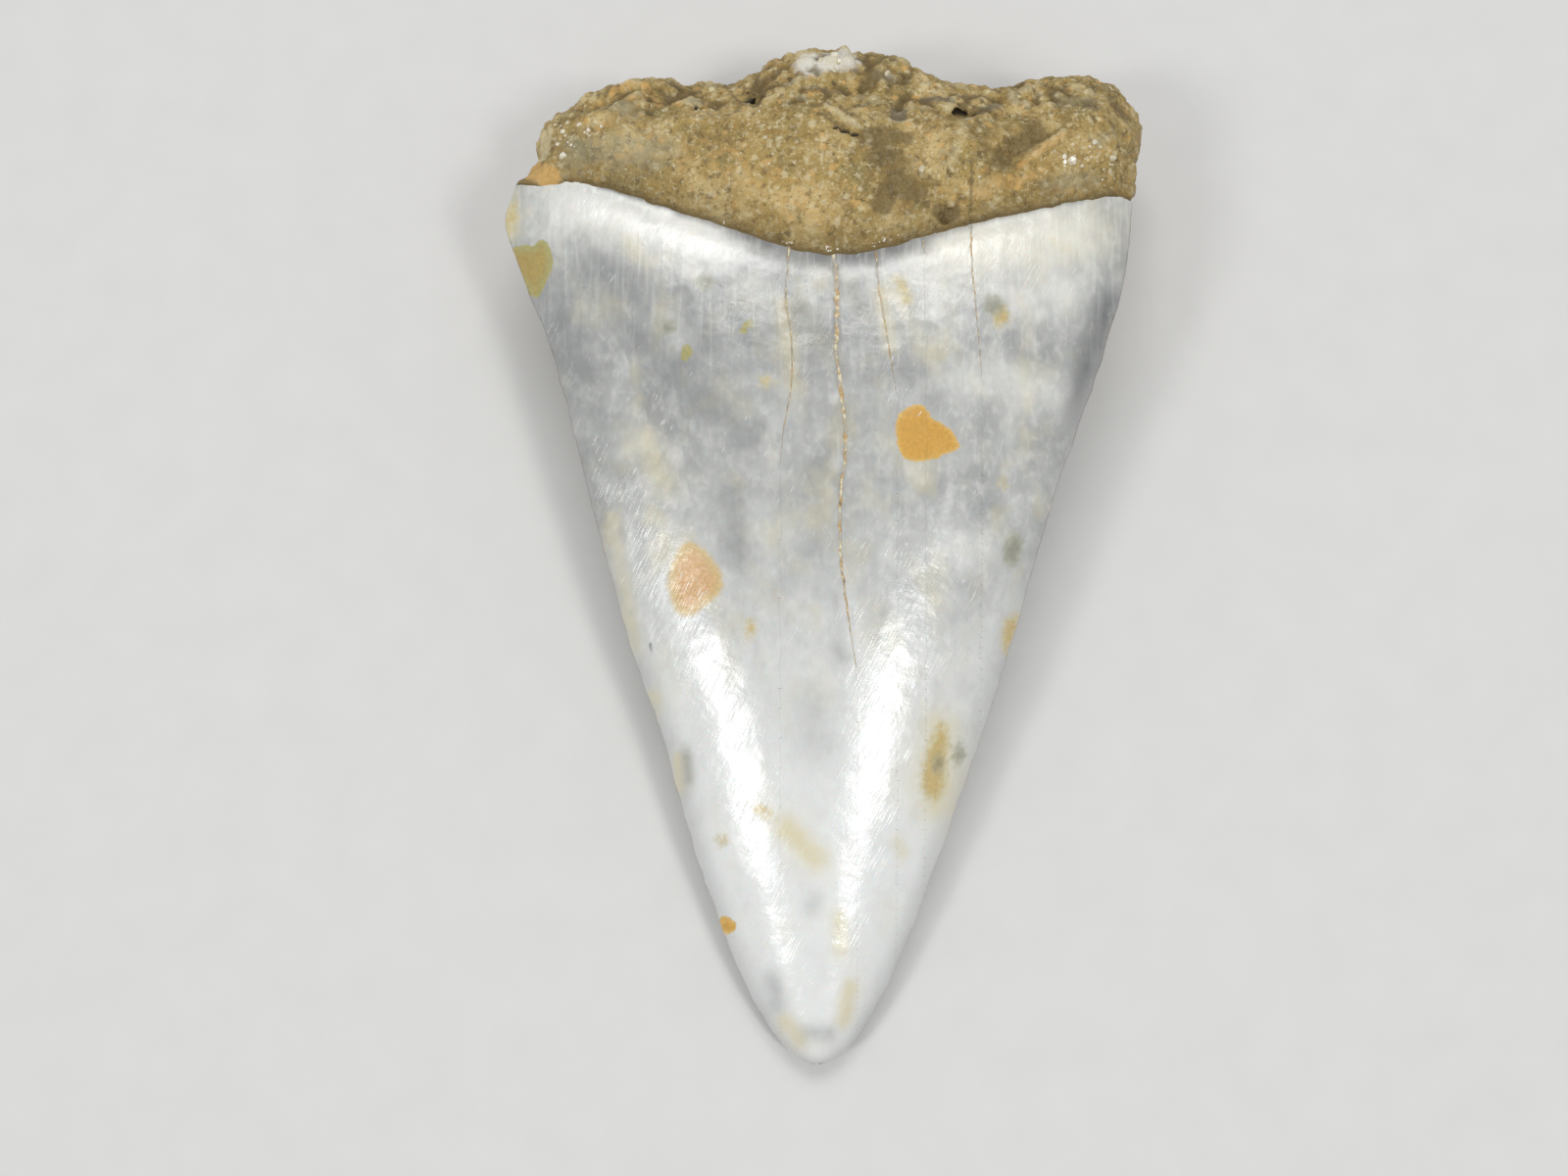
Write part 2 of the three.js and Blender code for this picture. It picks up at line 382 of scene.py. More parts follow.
@dataclass(frozen=True)
class Blot:
    """A round or oval outline on the tooth, seen from above.

    Attributes:
        at: Its middle, in millimetres.
        half: Its half-widths, in millimetres.
        turn: How far it is turned, in degrees.
    """

    at: Point
    half: Point
    turn: float = 0.0

    def distance(self, xy: np.ndarray) -> np.ndarray:
        """Measures from the outline, nearly.

        Args:
            xy: Places in millimetres, one a row.

        Returns:
            The distance of each place, below 0 inside.
        """
        angle = math.radians(self.turn)
        axes = np.array([[math.cos(angle), -math.sin(angle)], [math.sin(angle), math.cos(angle)]])
        reach = np.linalg.norm((xy - np.array(self.at)) @ axes / np.array(self.half), axis=1)
        return (reach - 1) * min(self.half)


@dataclass(frozen=True)
class Stroke:
    """A soft mark along a short line, for a tint or a swell.

    Attributes:
        start: Where the line starts, in millimetres.
        end: Where it ends.
        radius: How far from the line the mark has faded to a third.
        amount: Its strength, or its height in millimetres.
    """

    start: Point
    end: Point
    radius: float
    amount: float

    @classmethod
    def rows(cls, *rows: tuple[float, ...]) -> tuple["Stroke", ...]:
        """Makes strokes, each given as x and y of its start, x and y of its end, radius and amount."""
        return tuple(cls((x, y), (end_x, end_y), *size) for x, y, end_x, end_y, *size in rows)

    def weight(self, xy: np.ndarray) -> np.ndarray:
        """Reads the mark.

        Args:
            xy: Places in millimetres, one a row.

        Returns:
            Its strength at each place.
        """
        return self.amount * np.exp(-(segment_distance(xy, self.start, self.end) / self.radius) ** 2)


@dataclass(frozen=True)
class Crack:
    """A crack that runs down the enamel from its end towards the tip.

    Attributes:
        name: The vertex attribute that holds the offset from it, in half-widths.
        line: Points along it, in millimetres, from the top down.
        half_width: Half its width at the top, in millimetres.
        depth: How deep its groove is, in millimetres.
        inner: Whether it is in the inner face.
        end_share: Where it stops narrowing, as a share of its length from its lower end.
    """

    name: str
    line: tuple[Point, ...]
    half_width: float
    depth: float
    inner: bool = False
    end_share: float = 0.02

    def offset(self, xy: np.ndarray) -> np.ndarray:
        """Measures sideways from the crack.

        Args:
            xy: Places in millimetres, one a row.

        Returns:
            The offset of each place to the right, in half-widths, which narrow to nothing at the lower end.
        """
        rising = self.line[::-1]
        bottom, top = rising[0][1], rising[-1][1]
        centre = through([(y, x) for x, y in rising], xy[:, 1])
        share = (xy[:, 1] - bottom) / (top - bottom)
        width = self.half_width * np.sqrt(np.clip(share, self.end_share, 1))
        sideways = xy[:, 0] - centre
        offset = np.clip(sideways / width, -NO_MARK, NO_MARK)
        return np.where((share > 0) & (share < 1), offset, np.copysign(NO_MARK, sideways))


@dataclass(frozen=True)
class Markings:
    """Everything on the tooth that is colour: stains, tints and cracks.

    Attributes:
        stains: Outlines of the stains with an edge, by kind.
        washes: The fading tints, by kind, among them painted sheen, painted shade and painted glints.
        cracks: The cracks in the enamel.
        inner_stains: Stains of the inner face, in the same kinds.
        neck: Half the width of the dull band along the inner face's enamel end, in millimetres.
    """

    stains: dict[Stain, tuple[Outline | Blot, ...]] = field(default_factory=lambda: {
        Stain.ORANGE: (
            Outline(((3.6, 5.7), (4.0, 6.0), (4.5, 6.2), (5.0, 6.1), (5.4, 5.5), (6.1, 5.15), (6.65, 4.6),
                     (6.95, 3.95), (6.1, 3.5), (5.2, 3.2), (4.0, 3.2), (3.5, 4.1), (3.4, 4.9))),
            Outline(((-6.4, -21.4), (-5.9, -21.2), (-5.3, -21.6), (-5.5, -22.0), (-6.0, -22.2),
                     (-6.2, -21.8))),
        ),
        Stain.TAN: (
            Outline(((-8.0, -1.1), (-7.4, -1.3), (-6.7, -1.95), (-6.1, -2.9), (-6.1, -3.8), (-6.9, -4.5),
                     (-7.7, -5.05), (-8.4, -4.95), (-8.9, -4.3), (-9.1, -3.3), (-8.95, -2.4),
                     (-8.5, -1.5))),
        ),
        Stain.OLIVE: (
            Outline(((-18.2, 15.5), (-17.3, 15.7), (-16.75, 15.6), (-16.3, 15.9), (-15.8, 15.5),
                     (-15.6, 14.5), (-15.9, 13.7), (-16.5, 12.8), (-17.2, 13.3), (-17.9, 14.2))),
            Outline(((-8.3, 9.5), (-7.9, 9.6), (-7.7, 9.2), (-7.9, 8.8), (-8.5, 8.6), (-8.3, 9.0))),
            Blot((-4.74, 10.6), (0.24, 0.55), -40),
        ),
        Stain.YELLOW: (
            Outline(((3.4, 13.4), (3.8, 13.35), (4.2, 12.6), (4.3, 12.0), (4.0, 11.8), (3.6, 12.6))),
            Blot((-3.7, 7.5), (0.38, 0.32)),
            Blot((-4.5, -5.9), (0.35, 0.5)),
            Blot((-3.9, -15.6), (0.7, 0.35), -35),
            Blot((-6.1, -17.1), (0.32, 0.3)),
            Outline(((5.9, -10.7), (6.4, -11.4), (6.3, -13.0), (6.2, -14.3), (5.7, -15.0), (5.0, -14.6),
                     (4.8, -13.6), (5.3, -11.9))),
            Outline(((9.6, -5.0), (10.4, -4.7), (10.3, -5.6), (9.8, -7.0), (9.4, -6.2))),
            Blot((9.36, 2.2), (0.25, 0.3)),
            Blot((9.3, 11.2), (0.5, 0.6), -25),
            Blot((-18.05, 17.4), (0.3, 0.8), -10),
        ),
        Stain.GREY: (
            Blot((8.9, 11.8), (0.55, 0.6)),
            Blot((-7.07, 13.05), (0.55, 0.5)),
            Blot((-9.07, 10.6), (0.5, 0.45)),
            Blot((10.0, -1.3), (0.55, 0.95), -15),
            Blot((7.0, -12.4), (0.4, 0.7), -10),
            Blot((5.8, -13.0), (0.4, 0.55)),
        ),
        Stain.SPECK: tuple(Blot(at, (0.09, 0.09)) for at in (
            (-6.2, 12.9), (-13.8, 13.0), (-1.45, 12.6), (-0.05, 8.05), (-4.85, 2.8), (-7.0, 2.3),
            (-4.1, 1.5), (-2.95, -2.5), (-10.1, -6.4), (-10.05, -7.1), (2.9, -12.5), (0.25, -7.1))),
    })
    washes: dict[Wash, tuple[Stroke, ...]] = field(default_factory=lambda: {
        # Pale patches; the broad strokes from (-14.0, 17.6), (-10.5, 16.6), (6.5, 15.0) and (4.0, 13.0)
        # paint part of the sheen where the enamel's end faces the lamp behind.
        Wash.PALE: Stroke.rows(
            (-14.0, 17.6, -6.5, 15.2, 1.6, 1.0), (-10.5, 16.6, -9.5, 16.4, 1.6, 1.0),
            (6.5, 15.0, 13.5, 16.0, 1.8, 1.0), (4.0, 13.0, 12.0, 13.0, 1.8, 0.45),
            (8.6, 8.0, 12.6, 7.0, 1.4, 0.6), (-8.0, 13.9, -7.4, 13.7, 0.7, 0.6),
            (-4.6, 12.9, -3.9, 12.3, 0.9, 0.5), (6.2, -1.5, 8.4, -1.5, 0.9, 0.5),
            (-14.9, 19.2, -11.0, 18.0, 0.25, 0.8)),
        Wash.SLATE: Stroke.rows(
            (-13.2, 14.2, -10.8, 12.9, 1.5, 0.8), (-15.6, 12.8, -13.8, 8.6, 1.3, 0.8),
            (-12.0, 11.4, -9.4, 8.8, 1.0, 0.7), (-9.4, 8.6, -4.8, 4.6, 1.3, 0.8),
            (-5.6, 3.4, 0.0, -1.5, 2.0, 0.2), (-4.6, 9.4, -0.6, 8.8, 1.0, 0.6),
            (-5.8, 7.0, -3.0, 6.6, 0.9, 0.5), (3.0, 11.4, 3.4, 10.8, 0.7, 0.5),
            (5.0, 7.0, 5.6, 6.6, 0.8, 0.5), (-6.0, 12.4, 0.2, 9.4, 1.7, 0.75),
            (-8.2, 12.6, -6.6, 9.6, 1.4, 0.75), (-6.0, 8.6, 4.2, 8.2, 1.3, 0.7),
            (-3.0, 6.0, 3.0, 5.6, 1.2, 0.4), (3.8, 10.5, 4.4, 10.0, 0.9, 0.6),
            (-15.8, 10.5, -15.0, 9.0, 0.9, 0.5), (-13.4, 6.6, -12.2, 3.0, 1.1, 0.6),
            (-11.4, 13.4, -9.8, 12.8, 1.2, 0.5), (1.2, 12.6, 2.2, 10.0, 1.0, 0.6),
            # The stroke from (15.2, 12.3) to (13.2, 6.0) paints shade where the right edge turns down.
            (15.2, 12.3, 13.2, 6.0, 0.9, 1.0), (-3.3, -24.6, -3.1, -25.9, 0.6, 0.45),
            (-1.5, -27.5, -0.3, -27.5, 0.55, 0.5), (-5.6, 1.4, -5.2, -2.0, 0.9, 0.75),
            (0.3, -7.0, 0.5, -7.4, 0.5, 0.5), (-1.2, -10.2, -0.8, -12.0, 1.2, 0.35),
            (-1.3, -20.8, -1.0, -20.4, 0.5, 0.3)),
        Wash.CREAM: Stroke.rows(
            (-18.4, 18.6, -18.1, 16.6, 0.6, 1.0), (-11.4, 15.4, -10.9, 14.7, 0.45, 0.5),
            (6.5, 15.0, 14.8, 16.6, 1.8, 0.35), (12.2, 15.6, 13.4, 15.2, 0.5, 0.6),
            (-10.4, 4.6, -9.2, 2.0, 0.8, 0.5), (-2.8, 11.8, -2.2, 7.4, 0.5, 0.6),
            (4.6, 10.4, 5.2, 9.0, 0.6, 0.3), (2.6, 12.4, 3.2, 9.4, 0.45, 0.6),
            (0.3, -21.3, 0.4, -23.0, 0.5, 0.8), (0.85, -25.0, 0.6, -26.8, 0.5, 1.0),
            (-2.6, -26.9, -1.9, -27.9, 0.5, 0.9), (-2.6, -16.5, -0.9, -18.2, 0.75, 1.0),
            (5.9, -11.3, 5.8, -15.0, 1.2, 0.9), (3.5, -17.2, 3.9, -17.9, 0.4, 0.6),
            (-8.6, -12.6, -8.5, -14.0, 0.3, 0.9), (-12.3, 0.5, -10.9, -6.5, 0.45, 0.5),
            (-10.0, -9.2, -9.8, -9.3, 0.4, 0.7), (-11.5, -4.7, -11.2, -5.2, 0.4, 0.6),
            (-12.1, 0.2, -12.0, -0.3, 0.4, 0.5)),
        Wash.SMOKE: Stroke.rows(
            (-1.7, 11.6, -0.8, 9.9, 0.7, 0.7), (-8.1, -12.4, -8.0, -13.8, 0.4, 0.8),
            (4.15, 12.1, 4.4, 11.3, 0.3, 0.8)),
        # Painted shade along the enamel's end under the root's edge, partly the greyer thin enamel there;
        # the last stroke paints the dark where the right edge turns down.
        Wash.SHADE: Stroke.rows(
            (-13.0, 18.8, -8.6, 17.2, 0.15, 0.9), (-8.6, 17.2, -5.6, 16.2, 0.35, 0.8),
            (-5.6, 16.2, -3.7, 15.4, 0.6, 1.0), (-3.7, 15.4, -1.6, 14.8, 0.8, 1.0),
            (-1.6, 14.8, 2.2, 14.8, 0.85, 1.1), (2.2, 14.8, 5.0, 15.6, 0.7, 1.0),
            (5.0, 15.6, 7.6, 16.4, 0.4, 0.8), (7.6, 16.4, 14.0, 18.1, 0.2, 0.6),
            (15.6, 12.6, 13.4, 6.6, 0.6, 0.65)),
        # Scuffed zones, whose scuffs get deeper scratches and painted white glints.
        Wash.SCUFF_AND_GLINT: Stroke.rows(
            (-10.8, 2.0, -10.2, -2.2, 1.1, 1.0), (-13.2, 14.6, -12.6, 13.4, 0.9, 0.8),
            (-13.6, 17.2, -7.5, 15.4, 1.3, 1.0), (-9.8, 6.6, -8.8, 5.4, 0.8, 0.8),
            (-6.0, 4.6, -5.8, 4.2, 0.5, 0.7), (-8.4, -2.6, -7.2, -4.6, 0.9, 1.2),
            (-9.0, -7.0, -6.0, -14.0, 1.2, 0.6), (-3.8, -21.8, -3.4, -22.9, 0.6, 0.8),
            (4.0, -2.0, 7.4, -3.6, 0.9, 0.9)),
        # Partly dark dirt and partly painted shade in the furrow, the valley and the rim's recesses; the
        # thin strokes beside the rod, from (-0.9, 22.9) and from (0.4, 23.4), are painted shadows.
        Wash.BONE_DARK: Stroke.rows(
            (2.6, 21.1, 4.4, 18.0, 1.6, 0.68), (3.3, 21.4, 4.2, 21.2, 0.5, 0.9),
            (3.5, 18.8, 2.7, 17.2, 0.7, 1.1), (9.2, 19.8, 11.5, 22.3, 0.9, 0.8),
            (-5.4, 24.0, -4.3, 23.6, 0.5, 0.7), (-1.9, 26.0, -1.2, 25.8, 0.4, 0.6),
            (10.4, 24.3, 11.2, 24.1, 0.5, 0.6), (8.3, 18.4, 8.6, 21.4, 0.8, 0.5),
            (-0.9, 22.9, 0.6, 21.9, 0.2, 0.9), (0.4, 23.4, 1.8, 22.3, 0.22, 0.8),
            (16.2, 24.6, 16.8, 23.8, 0.7, 0.7), (5.9, 16.9, 6.6, 16.8, 0.45, 1.3),
            (7.65, 16.6, 7.65, 19.6, 0.12, 0.7)),
        # Painted shade in the round dip, under the hump and in the rim's recesses.
        Wash.BONE_HOLLOW_SHADE: Stroke.rows(
            (3.75, 22.7, 3.75, 23.4, 0.5, 1.3), (1.4, 23.7, 2.1, 23.9, 0.3, 0.6),
            (-1.2, 24.9, 0.6, 24.7, 0.3, 0.6), (-2.9, 24.9, -2.2, 25.3, 0.25, 0.7),
            (5.2, 24.4, 6.8, 24.2, 0.35, 0.75), (8.4, 23.5, 9.6, 24.2, 0.4, 0.75),
            (-8.0, 24.0, -6.0, 23.9, 0.3, 0.65)),
        Wash.BONE_GREY: Stroke.rows(
            (-12.4, 24.0, -11.2, 22.8, 0.9, 0.6), (12.0, 18.7, 14.6, 19.2, 0.8, 0.55),
            (15.0, 21.3, 15.7, 22.0, 0.6, 0.5), (-14.5, 20.8, -9.6, 20.3, 1.7, 0.6),
            (13.0, 24.6, 15.0, 24.2, 0.8, 0.6)),
        Wash.BONE_ORANGE: Stroke.rows(
            (-17.2, 20.6, -15.9, 19.5, 0.65, 1.3), (-12.3, 25.5, -10.7, 25.1, 0.6, 0.6),
            (-7.0, 20.5, -1.0, 17.0, 2.2, 0.4), (8.2, 18.0, 11.6, 19.4, 0.8, 0.5),
            (10.6, 19.8, 12.8, 21.5, 0.4, 0.6), (-10.0, 24.1, -8.7, 23.7, 0.6, 0.6),
            (3.6, 24.5, 3.65, 24.5, 0.22, 1.2), (-3.8, 25.4, -3.75, 25.4, 0.22, 1.1),
            (-1.2, 25.8, -1.15, 25.8, 0.2, 1.1), (1.8, 27.3, 1.85, 27.3, 0.2, 1.1),
            (-0.95, 23.0, -0.9, 23.0, 0.2, 1.1), (8.7, 22.4, 8.9, 22.4, 0.25, 0.9),
            (-7.0, 23.9, -6.0, 24.0, 0.4, 0.6)),
        Wash.BONE_WHITE: Stroke.rows(
            (-1.2, 26.9, 0.9, 27.3, 0.95, 1.3), (0.0, 26.8, 0.3, 27.0, 0.4, 1.1),
            (3.3, 26.2, 3.35, 26.2, 0.2, 1.0), (7.2, 22.8, 7.7, 22.6, 0.35, 0.6)),
        Wash.BONE_PALE: Stroke.rows(
            (6.6, 19.4, 7.3, 22.0, 0.5, 0.5), (10.8, 20.0, 12.9, 21.8, 0.35, 0.45),
            (-0.4, 23.3, 1.3, 21.9, 0.28, 0.75), (3.1, 22.4, 4.4, 22.3, 0.25, 0.65),
            (-1.75, 24.2, -1.7, 24.2, 0.3, 1.1), (2.6, 26.2, 3.4, 25.9, 0.5, 0.8),
            (12.6, 24.2, 13.3, 23.9, 0.5, 0.6), (-2.45, 23.6, -2.4, 23.6, 0.25, 1.1),
            (-1.15, 22.0, -1.1, 22.0, 0.25, 1.1), (-0.58, 21.2, -0.6, 19.4, 0.1, 0.75),
            (-16.6, 21.4, -16.3, 22.8, 0.4, 1.3)),
    })
    cracks: tuple[Crack, ...] = (
        Crack("crack_middle", ((0.0, 14.8), (0.2, 13.4), (0.2, 9.4), (0.3, 8.1), (0.6, 5.6), (0.7, 4.0),
                               (0.4, 1.3), (0.4, -2.0), (0.7, -4.5), (1.3, -8.5)), 0.13, 0.10),
        Crack("crack_left", ((-2.4, 15.2), (-2.5, 13.7), (-2.6, 12.0), (-2.3, 10.1), (-2.3, 7.2),
                             (-2.7, 5.0), (-2.9, 2.9)), 0.05, 0.03),
        Crack("crack_right", ((2.4, 14.9), (2.5, 13.1), (2.7, 11.8), (3.1, 9.2), (3.5, 6.7)), 0.055, 0.04),
        Crack("crack_far_right", ((7.7, 16.4), (7.7, 14.4), (7.9, 11.7), (8.2, 7.7)), 0.05, 0.04),
        Crack("crack_short", ((5.0, 15.6), (5.1, 14.5)), 0.05, 0.03),
        Crack("crack_inner", ((-0.9, 8.4), (-0.7, 5.2), (-1.0, 2.4), (-0.6, -1.5), (-0.8, -4.2)),
              0.08, 0.05, True),
        Crack("crack_inner_short", ((4.2, 9.7), (4.3, 7.4), (4.0, 5.6)), 0.05, 0.03, True),
    )
    inner_stains: dict[Stain, tuple[Outline | Blot, ...]] = field(default_factory=lambda: {
        Stain.ORANGE: (Blot((-4.8, -6.5), (0.9, 0.6), 25), Blot((5.4, 3.2), (0.5, 0.8), -15)),
        Stain.TAN: (Blot((3.0, -14.5), (0.7, 1.0), 10),),
        Stain.OLIVE: (Blot((-10.6, 9.0), (0.7, 0.5), 40),),
        Stain.YELLOW: (Blot((0.8, -21.0), (0.5, 0.8)), Blot((-7.0, 1.5), (0.4, 0.3))),
        Stain.GREY: (Blot((2.2, -2.0), (0.5, 0.4)), Blot((9.0, 6.5), (0.4, 0.6))),
        Stain.SPECK: tuple(Blot(at, (0.09, 0.09)) for at in ((-2.0, 3.0), (4.0, -9.0), (-3.5, -18.0))),
    })
    neck: float = 0.8

    def write(self, mesh: bpy.types.Mesh, surface: Surface) -> None:
        """Writes the marks to the mesh's vertices, for the materials to read.

        Args:
            mesh: The tooth's mesh.
            surface: The same mesh as a surface.
        """
        xy = surface.places[:, :2]
        for kind in Stain:
            outer = self._nearest(self.stains[kind], xy, surface.labial)
            inner = self._nearest(self.inner_stains[kind], xy, ~surface.labial)
            write_attribute(mesh, kind.value, np.minimum(outer, inner))
        for kind in Wash:
            weights = [stroke.weight(xy) for stroke in self.washes[kind]]
            write_attribute(mesh, kind.value, np.max(weights, axis=0) * surface.labial)
        for crack in self.cracks:
            here = surface.labial != crack.inner
            write_attribute(mesh, crack.name, np.where(here, crack.offset(xy), NO_MARK))
        across = (surface.past_enamel + self.neck) / self.neck
        write_attribute(mesh, Landmark.NECK.value, np.exp(-across ** 4) * ~surface.labial)

    @staticmethod
    def _nearest(outlines: Iterable[Outline | Blot], xy: np.ndarray, here: np.ndarray) -> np.ndarray:
        """Measures from the nearest outline.

        Args:
            outlines: The outlines.
            xy: Places in millimetres, one a row.
            here: Whether each place is on the outlines' face.

        Returns:
            The distance of each place, and NO_MARK on the other face.
        """
        distances = [outline.distance(xy[here]) for outline in outlines]
        found = np.full(len(xy), NO_MARK)
        found[here] = np.min(distances, axis=0)
        return found


def write_attribute(mesh: bpy.types.Mesh, name: str, values: np.ndarray) -> None:
    """Stores a number for each vertex.

    Args:
        mesh: The mesh.
        name: The attribute's name.
        values: The numbers.
    """
    attribute = mesh.attributes.new(name, "FLOAT", "POINT")
    attribute.data.foreach_set("value", values.astype(np.float32))


@dataclass(frozen=True)
class Relief:
    """The tooth's fine shape, in millimetres: flutes and wear on the enamel, granular bone on the root.

    Attributes:
        swells: Ridges and hollows of the root's outer face.
        pores: Its dark holes.
        scarp: Where the root's outer face steps down to its rugged rim, from and to along Y.
        bone_lumps: The worn bone's lumps.
        rim_lumps: More lumps along the rim.
        knobs: Height and size of the rounded knobs of its crust.
        dome: How high the top of a knob or a grain is, as a share of its height, and how wide its half is,
            as a share of its size.
        calm: How high the knobs are away from the rim, as a share.
        worn: Where lumps and knobs are worn down; the amount says by what share.
        grains: Height and size of its grains of sand.
        pits: Depth, spacing and radius of its small pits.
        bone_start: Past the enamel's end, where the bone's relief sets in and where it is full.
        flutes: The enamel's low flutes.
        flutes_reach: How far from the enamel's end the flutes fade, and where they are gone.
        waves: The waves in the polished enamel.
        dents: The dents worn in the cutting edge.
        dents_width: How wide they are.
        slant: The sideways part of a normal under which a dent grows shallow.
        wander: How far the enamel's end wanders.
        wander_width: How far out from it that fades.
        lip: Height of the enamel's raised end, and its width.
    """

    swells: tuple[Stroke, ...] = Stroke.rows(
        (-0.38, 23.25, 1.3, 22.0, 0.28, 0.34), (3.75, 22.8, 3.75, 23.4, 0.5, -0.5),
        (3.1, 22.4, 4.4, 22.3, 0.25, 0.2), (6.6, 19.4, 7.3, 22.0, 0.5, 0.3),
        (8.6, 19.0, 8.3, 21.6, 0.45, -0.2), (9.6, 20.2, 12.6, 22.6, 0.7, -0.5),
        (10.8, 19.9, 12.9, 21.8, 0.4, 0.4), (1.3, 28.4, 1.3, 27.4, 0.3, -0.3),
        (18.2, 21.7, 17.3, 21.6, 0.3, -0.4), (-12.3, 25.6, -10.7, 25.1, 0.5, 0.3),
        (-1.4, 26.6, 0.9, 27.0, 0.6, 0.25), (-3.2, 24.6, -2.4, 24.4, 0.35, 0.2),
        (-1.9, 25.0, -1.7, 25.0, 0.25, 0.2))
    pores: tuple[Stroke, ...] = Stroke.rows(
        (0.1, 21.95, 1.5, 21.3, 0.11, -0.42), (8.2, 23.6, 8.25, 23.6, 0.15, -0.35),
        (-4.7, 24.2, -4.65, 24.35, 0.28, -0.55), (7.15, 23.6, 7.4, 23.55, 0.16, -0.42),
        (-7.7, 23.6, -7.65, 23.6, 0.15, -0.35), (-9.0, 19.95, -8.95, 19.95, 0.1, -0.25),
        (-0.7, 25.6, -0.65, 25.6, 0.12, -0.25))
    scarp: Point = (22.6, 24.0)
    bone_lumps: Lumps = Lumps(0.24, 4, 2.2)
    rim_lumps: Lumps = Lumps(0.3, 3, 1.5)
    knobs: Point = (0.22, 0.85)
    dome: Point = (0.6, 0.7)
    calm: float = 0.35
    worn: Stroke = Stroke((18.2, 20.8), (16.2, 25.4), 1.9, 0.7)
    grains: Point = (0.075, 0.34)
    pits: tuple[float, float, float] = (0.14, 1.3, 0.13)
    bone_start: Point = (0.05, 0.7)
    flutes: Lumps = Lumps(0.03, 2, 0.9, 14.0)
    flutes_reach: Point = (6.0, 12.0)
    waves: Lumps = Lumps(0.022, 4, 3.5)
    dents: Lumps = Lumps(0.09, 3, 1.6)
    dents_width: float = 0.35
    slant: float = 0.1
    wander: Lumps = Lumps(0.11, 3, 0.8, 1000.0)
    wander_width: float = 0.6
    lip: Point = (0.05, 0.35)

    def carve(self, mesh: bpy.types.Mesh, cracks: Iterable[Crack]) -> None:
        """Moves the mesh's vertices into the fine shape, and stores the bone's relief as an attribute.

        Args:
            mesh: The tooth's mesh, in metres.
            cracks: The cracks to groove.
        """
        surface = Surface.of(mesh)
        places = surface.places
        bone = smoothstep(surface.past_enamel, *self.bone_start)
        crown = surface.past_enamel < 0
        height, crust, hole = np.zeros((3, len(places)))
        rough = bone > 0
        height[rough], crust[rough], hole[rough] = self._bone_height(surface, rough)
        height *= bone
        height[crown] = self._enamel_height(surface, crown, cracks)
        moved = places + surface.normals * height[:, None]
        moved[:, 1] += self._wander(surface)
        moved[:, :2] -= self._edge_dents(surface)
        moved[:, 2] = np.maximum(moved[:, 2], 0)
        mesh.vertices.foreach_set("co", (moved * MM).ravel())
        mesh.update()
        write_attribute(mesh, Landmark.CRUST.value, crust * bone)
        write_attribute(mesh, Landmark.RIM.value, smoothstep(places[:, 1], *self.scarp))
        write_attribute(mesh, Landmark.HOLE.value, hole * bone)

    def _bone_height(self, surface: Surface, here: np.ndarray) -> tuple[np.ndarray, np.ndarray, np.ndarray]:
        """Adds up the relief of the root.

        Args:
            surface: The tooth's surface.
            here: Which vertices to read.

        Returns:
            Their heights in millimetres, the crust's share of it, and that of the pits and pores.
        """
        places, xy, outer = surface.places[here], surface.places[here, :2], surface.labial[here]
        rim = smoothstep(xy[:, 1], *self.scarp)
        crust = self._domes(places, *self.knobs) * (self.calm + (1 - self.calm) * rim)
        crust += self.rim_lumps.heights(places) * rim
        grains = self._domes(places, *self.grains)
        depth, spacing, radius = self.pits
        hole = -depth * np.exp(-(nearest_cell(places, spacing) / radius) ** 2)
        hole += np.sum([pore.weight(xy) for pore in self.pores], axis=0) * outer
        swells = np.sum([swell.weight(xy) for swell in self.swells], axis=0) * outer
        unworn = 1 - self.worn.weight(xy)
        crust *= unworn
        return self.bone_lumps.heights(places) * unworn + crust + grains + hole + swells, crust, hole

    def _domes(self, places: np.ndarray, height: float, size: float) -> np.ndarray:
        """Reads packed domes with creases between them.

        Args:
            places: Places in millimetres, one a row.
            height: The domes' height, in millimetres.
            size: About how wide they are, in millimetres.

        Returns:
            The height of each place, in millimetres.
        """
        top, half = self.dome
        return height * (top - (nearest_cell(places, size) / size / half) ** 2)

    def _enamel_height(self, surface: Surface, here: np.ndarray, cracks: Iterable[Crack]) -> np.ndarray:
        """Adds up the relief of the crown.

        Args:
            surface: The tooth's surface.
            here: Which vertices to read.
            cracks: The cracks to groove.

        Returns:
            Their heights in millimetres.
        """
        places, inward = surface.places[here], -surface.past_enamel[here]
        flutes = self.flutes.heights(places) * (1 - smoothstep(inward, *self.flutes_reach))
        lip_height, lip_width = self.lip
        lip = lip_height * np.exp(-(inward / lip_width) ** 2)
        height = flutes + self.waves.heights(places) + lip
        for crack in cracks:
            offset = crack.offset(places[:, :2])
            height -= crack.depth * np.exp(-offset ** 2) * (surface.labial[here] != crack.inner)
        return height

    def _wander(self, surface: Surface) -> np.ndarray:
        """Returns how far each vertex moves along Y so that the enamel's end is not too even."""
        near = np.exp(-(surface.past_enamel / self.wander_width) ** 2)
        return near * self.wander.heights(surface.places)

    def _edge_dents(self, surface: Surface) -> np.ndarray:
        """Dents the cutting edge.

        Args:
            surface: The tooth's surface.

        Returns:
            How far each vertex moves in along X and Y, in millimetres.
        """
        near = np.exp(-(surface.from_edge / self.dents_width) ** 2) * (surface.past_enamel < 0)
        dents = near * self.dents.heights(surface.places)
        sideways = surface.normals[:, :2]
        slants = np.linalg.norm(sideways, axis=1, keepdims=True)
        return dents[:, None] * sideways / np.maximum(slants, self.slant)


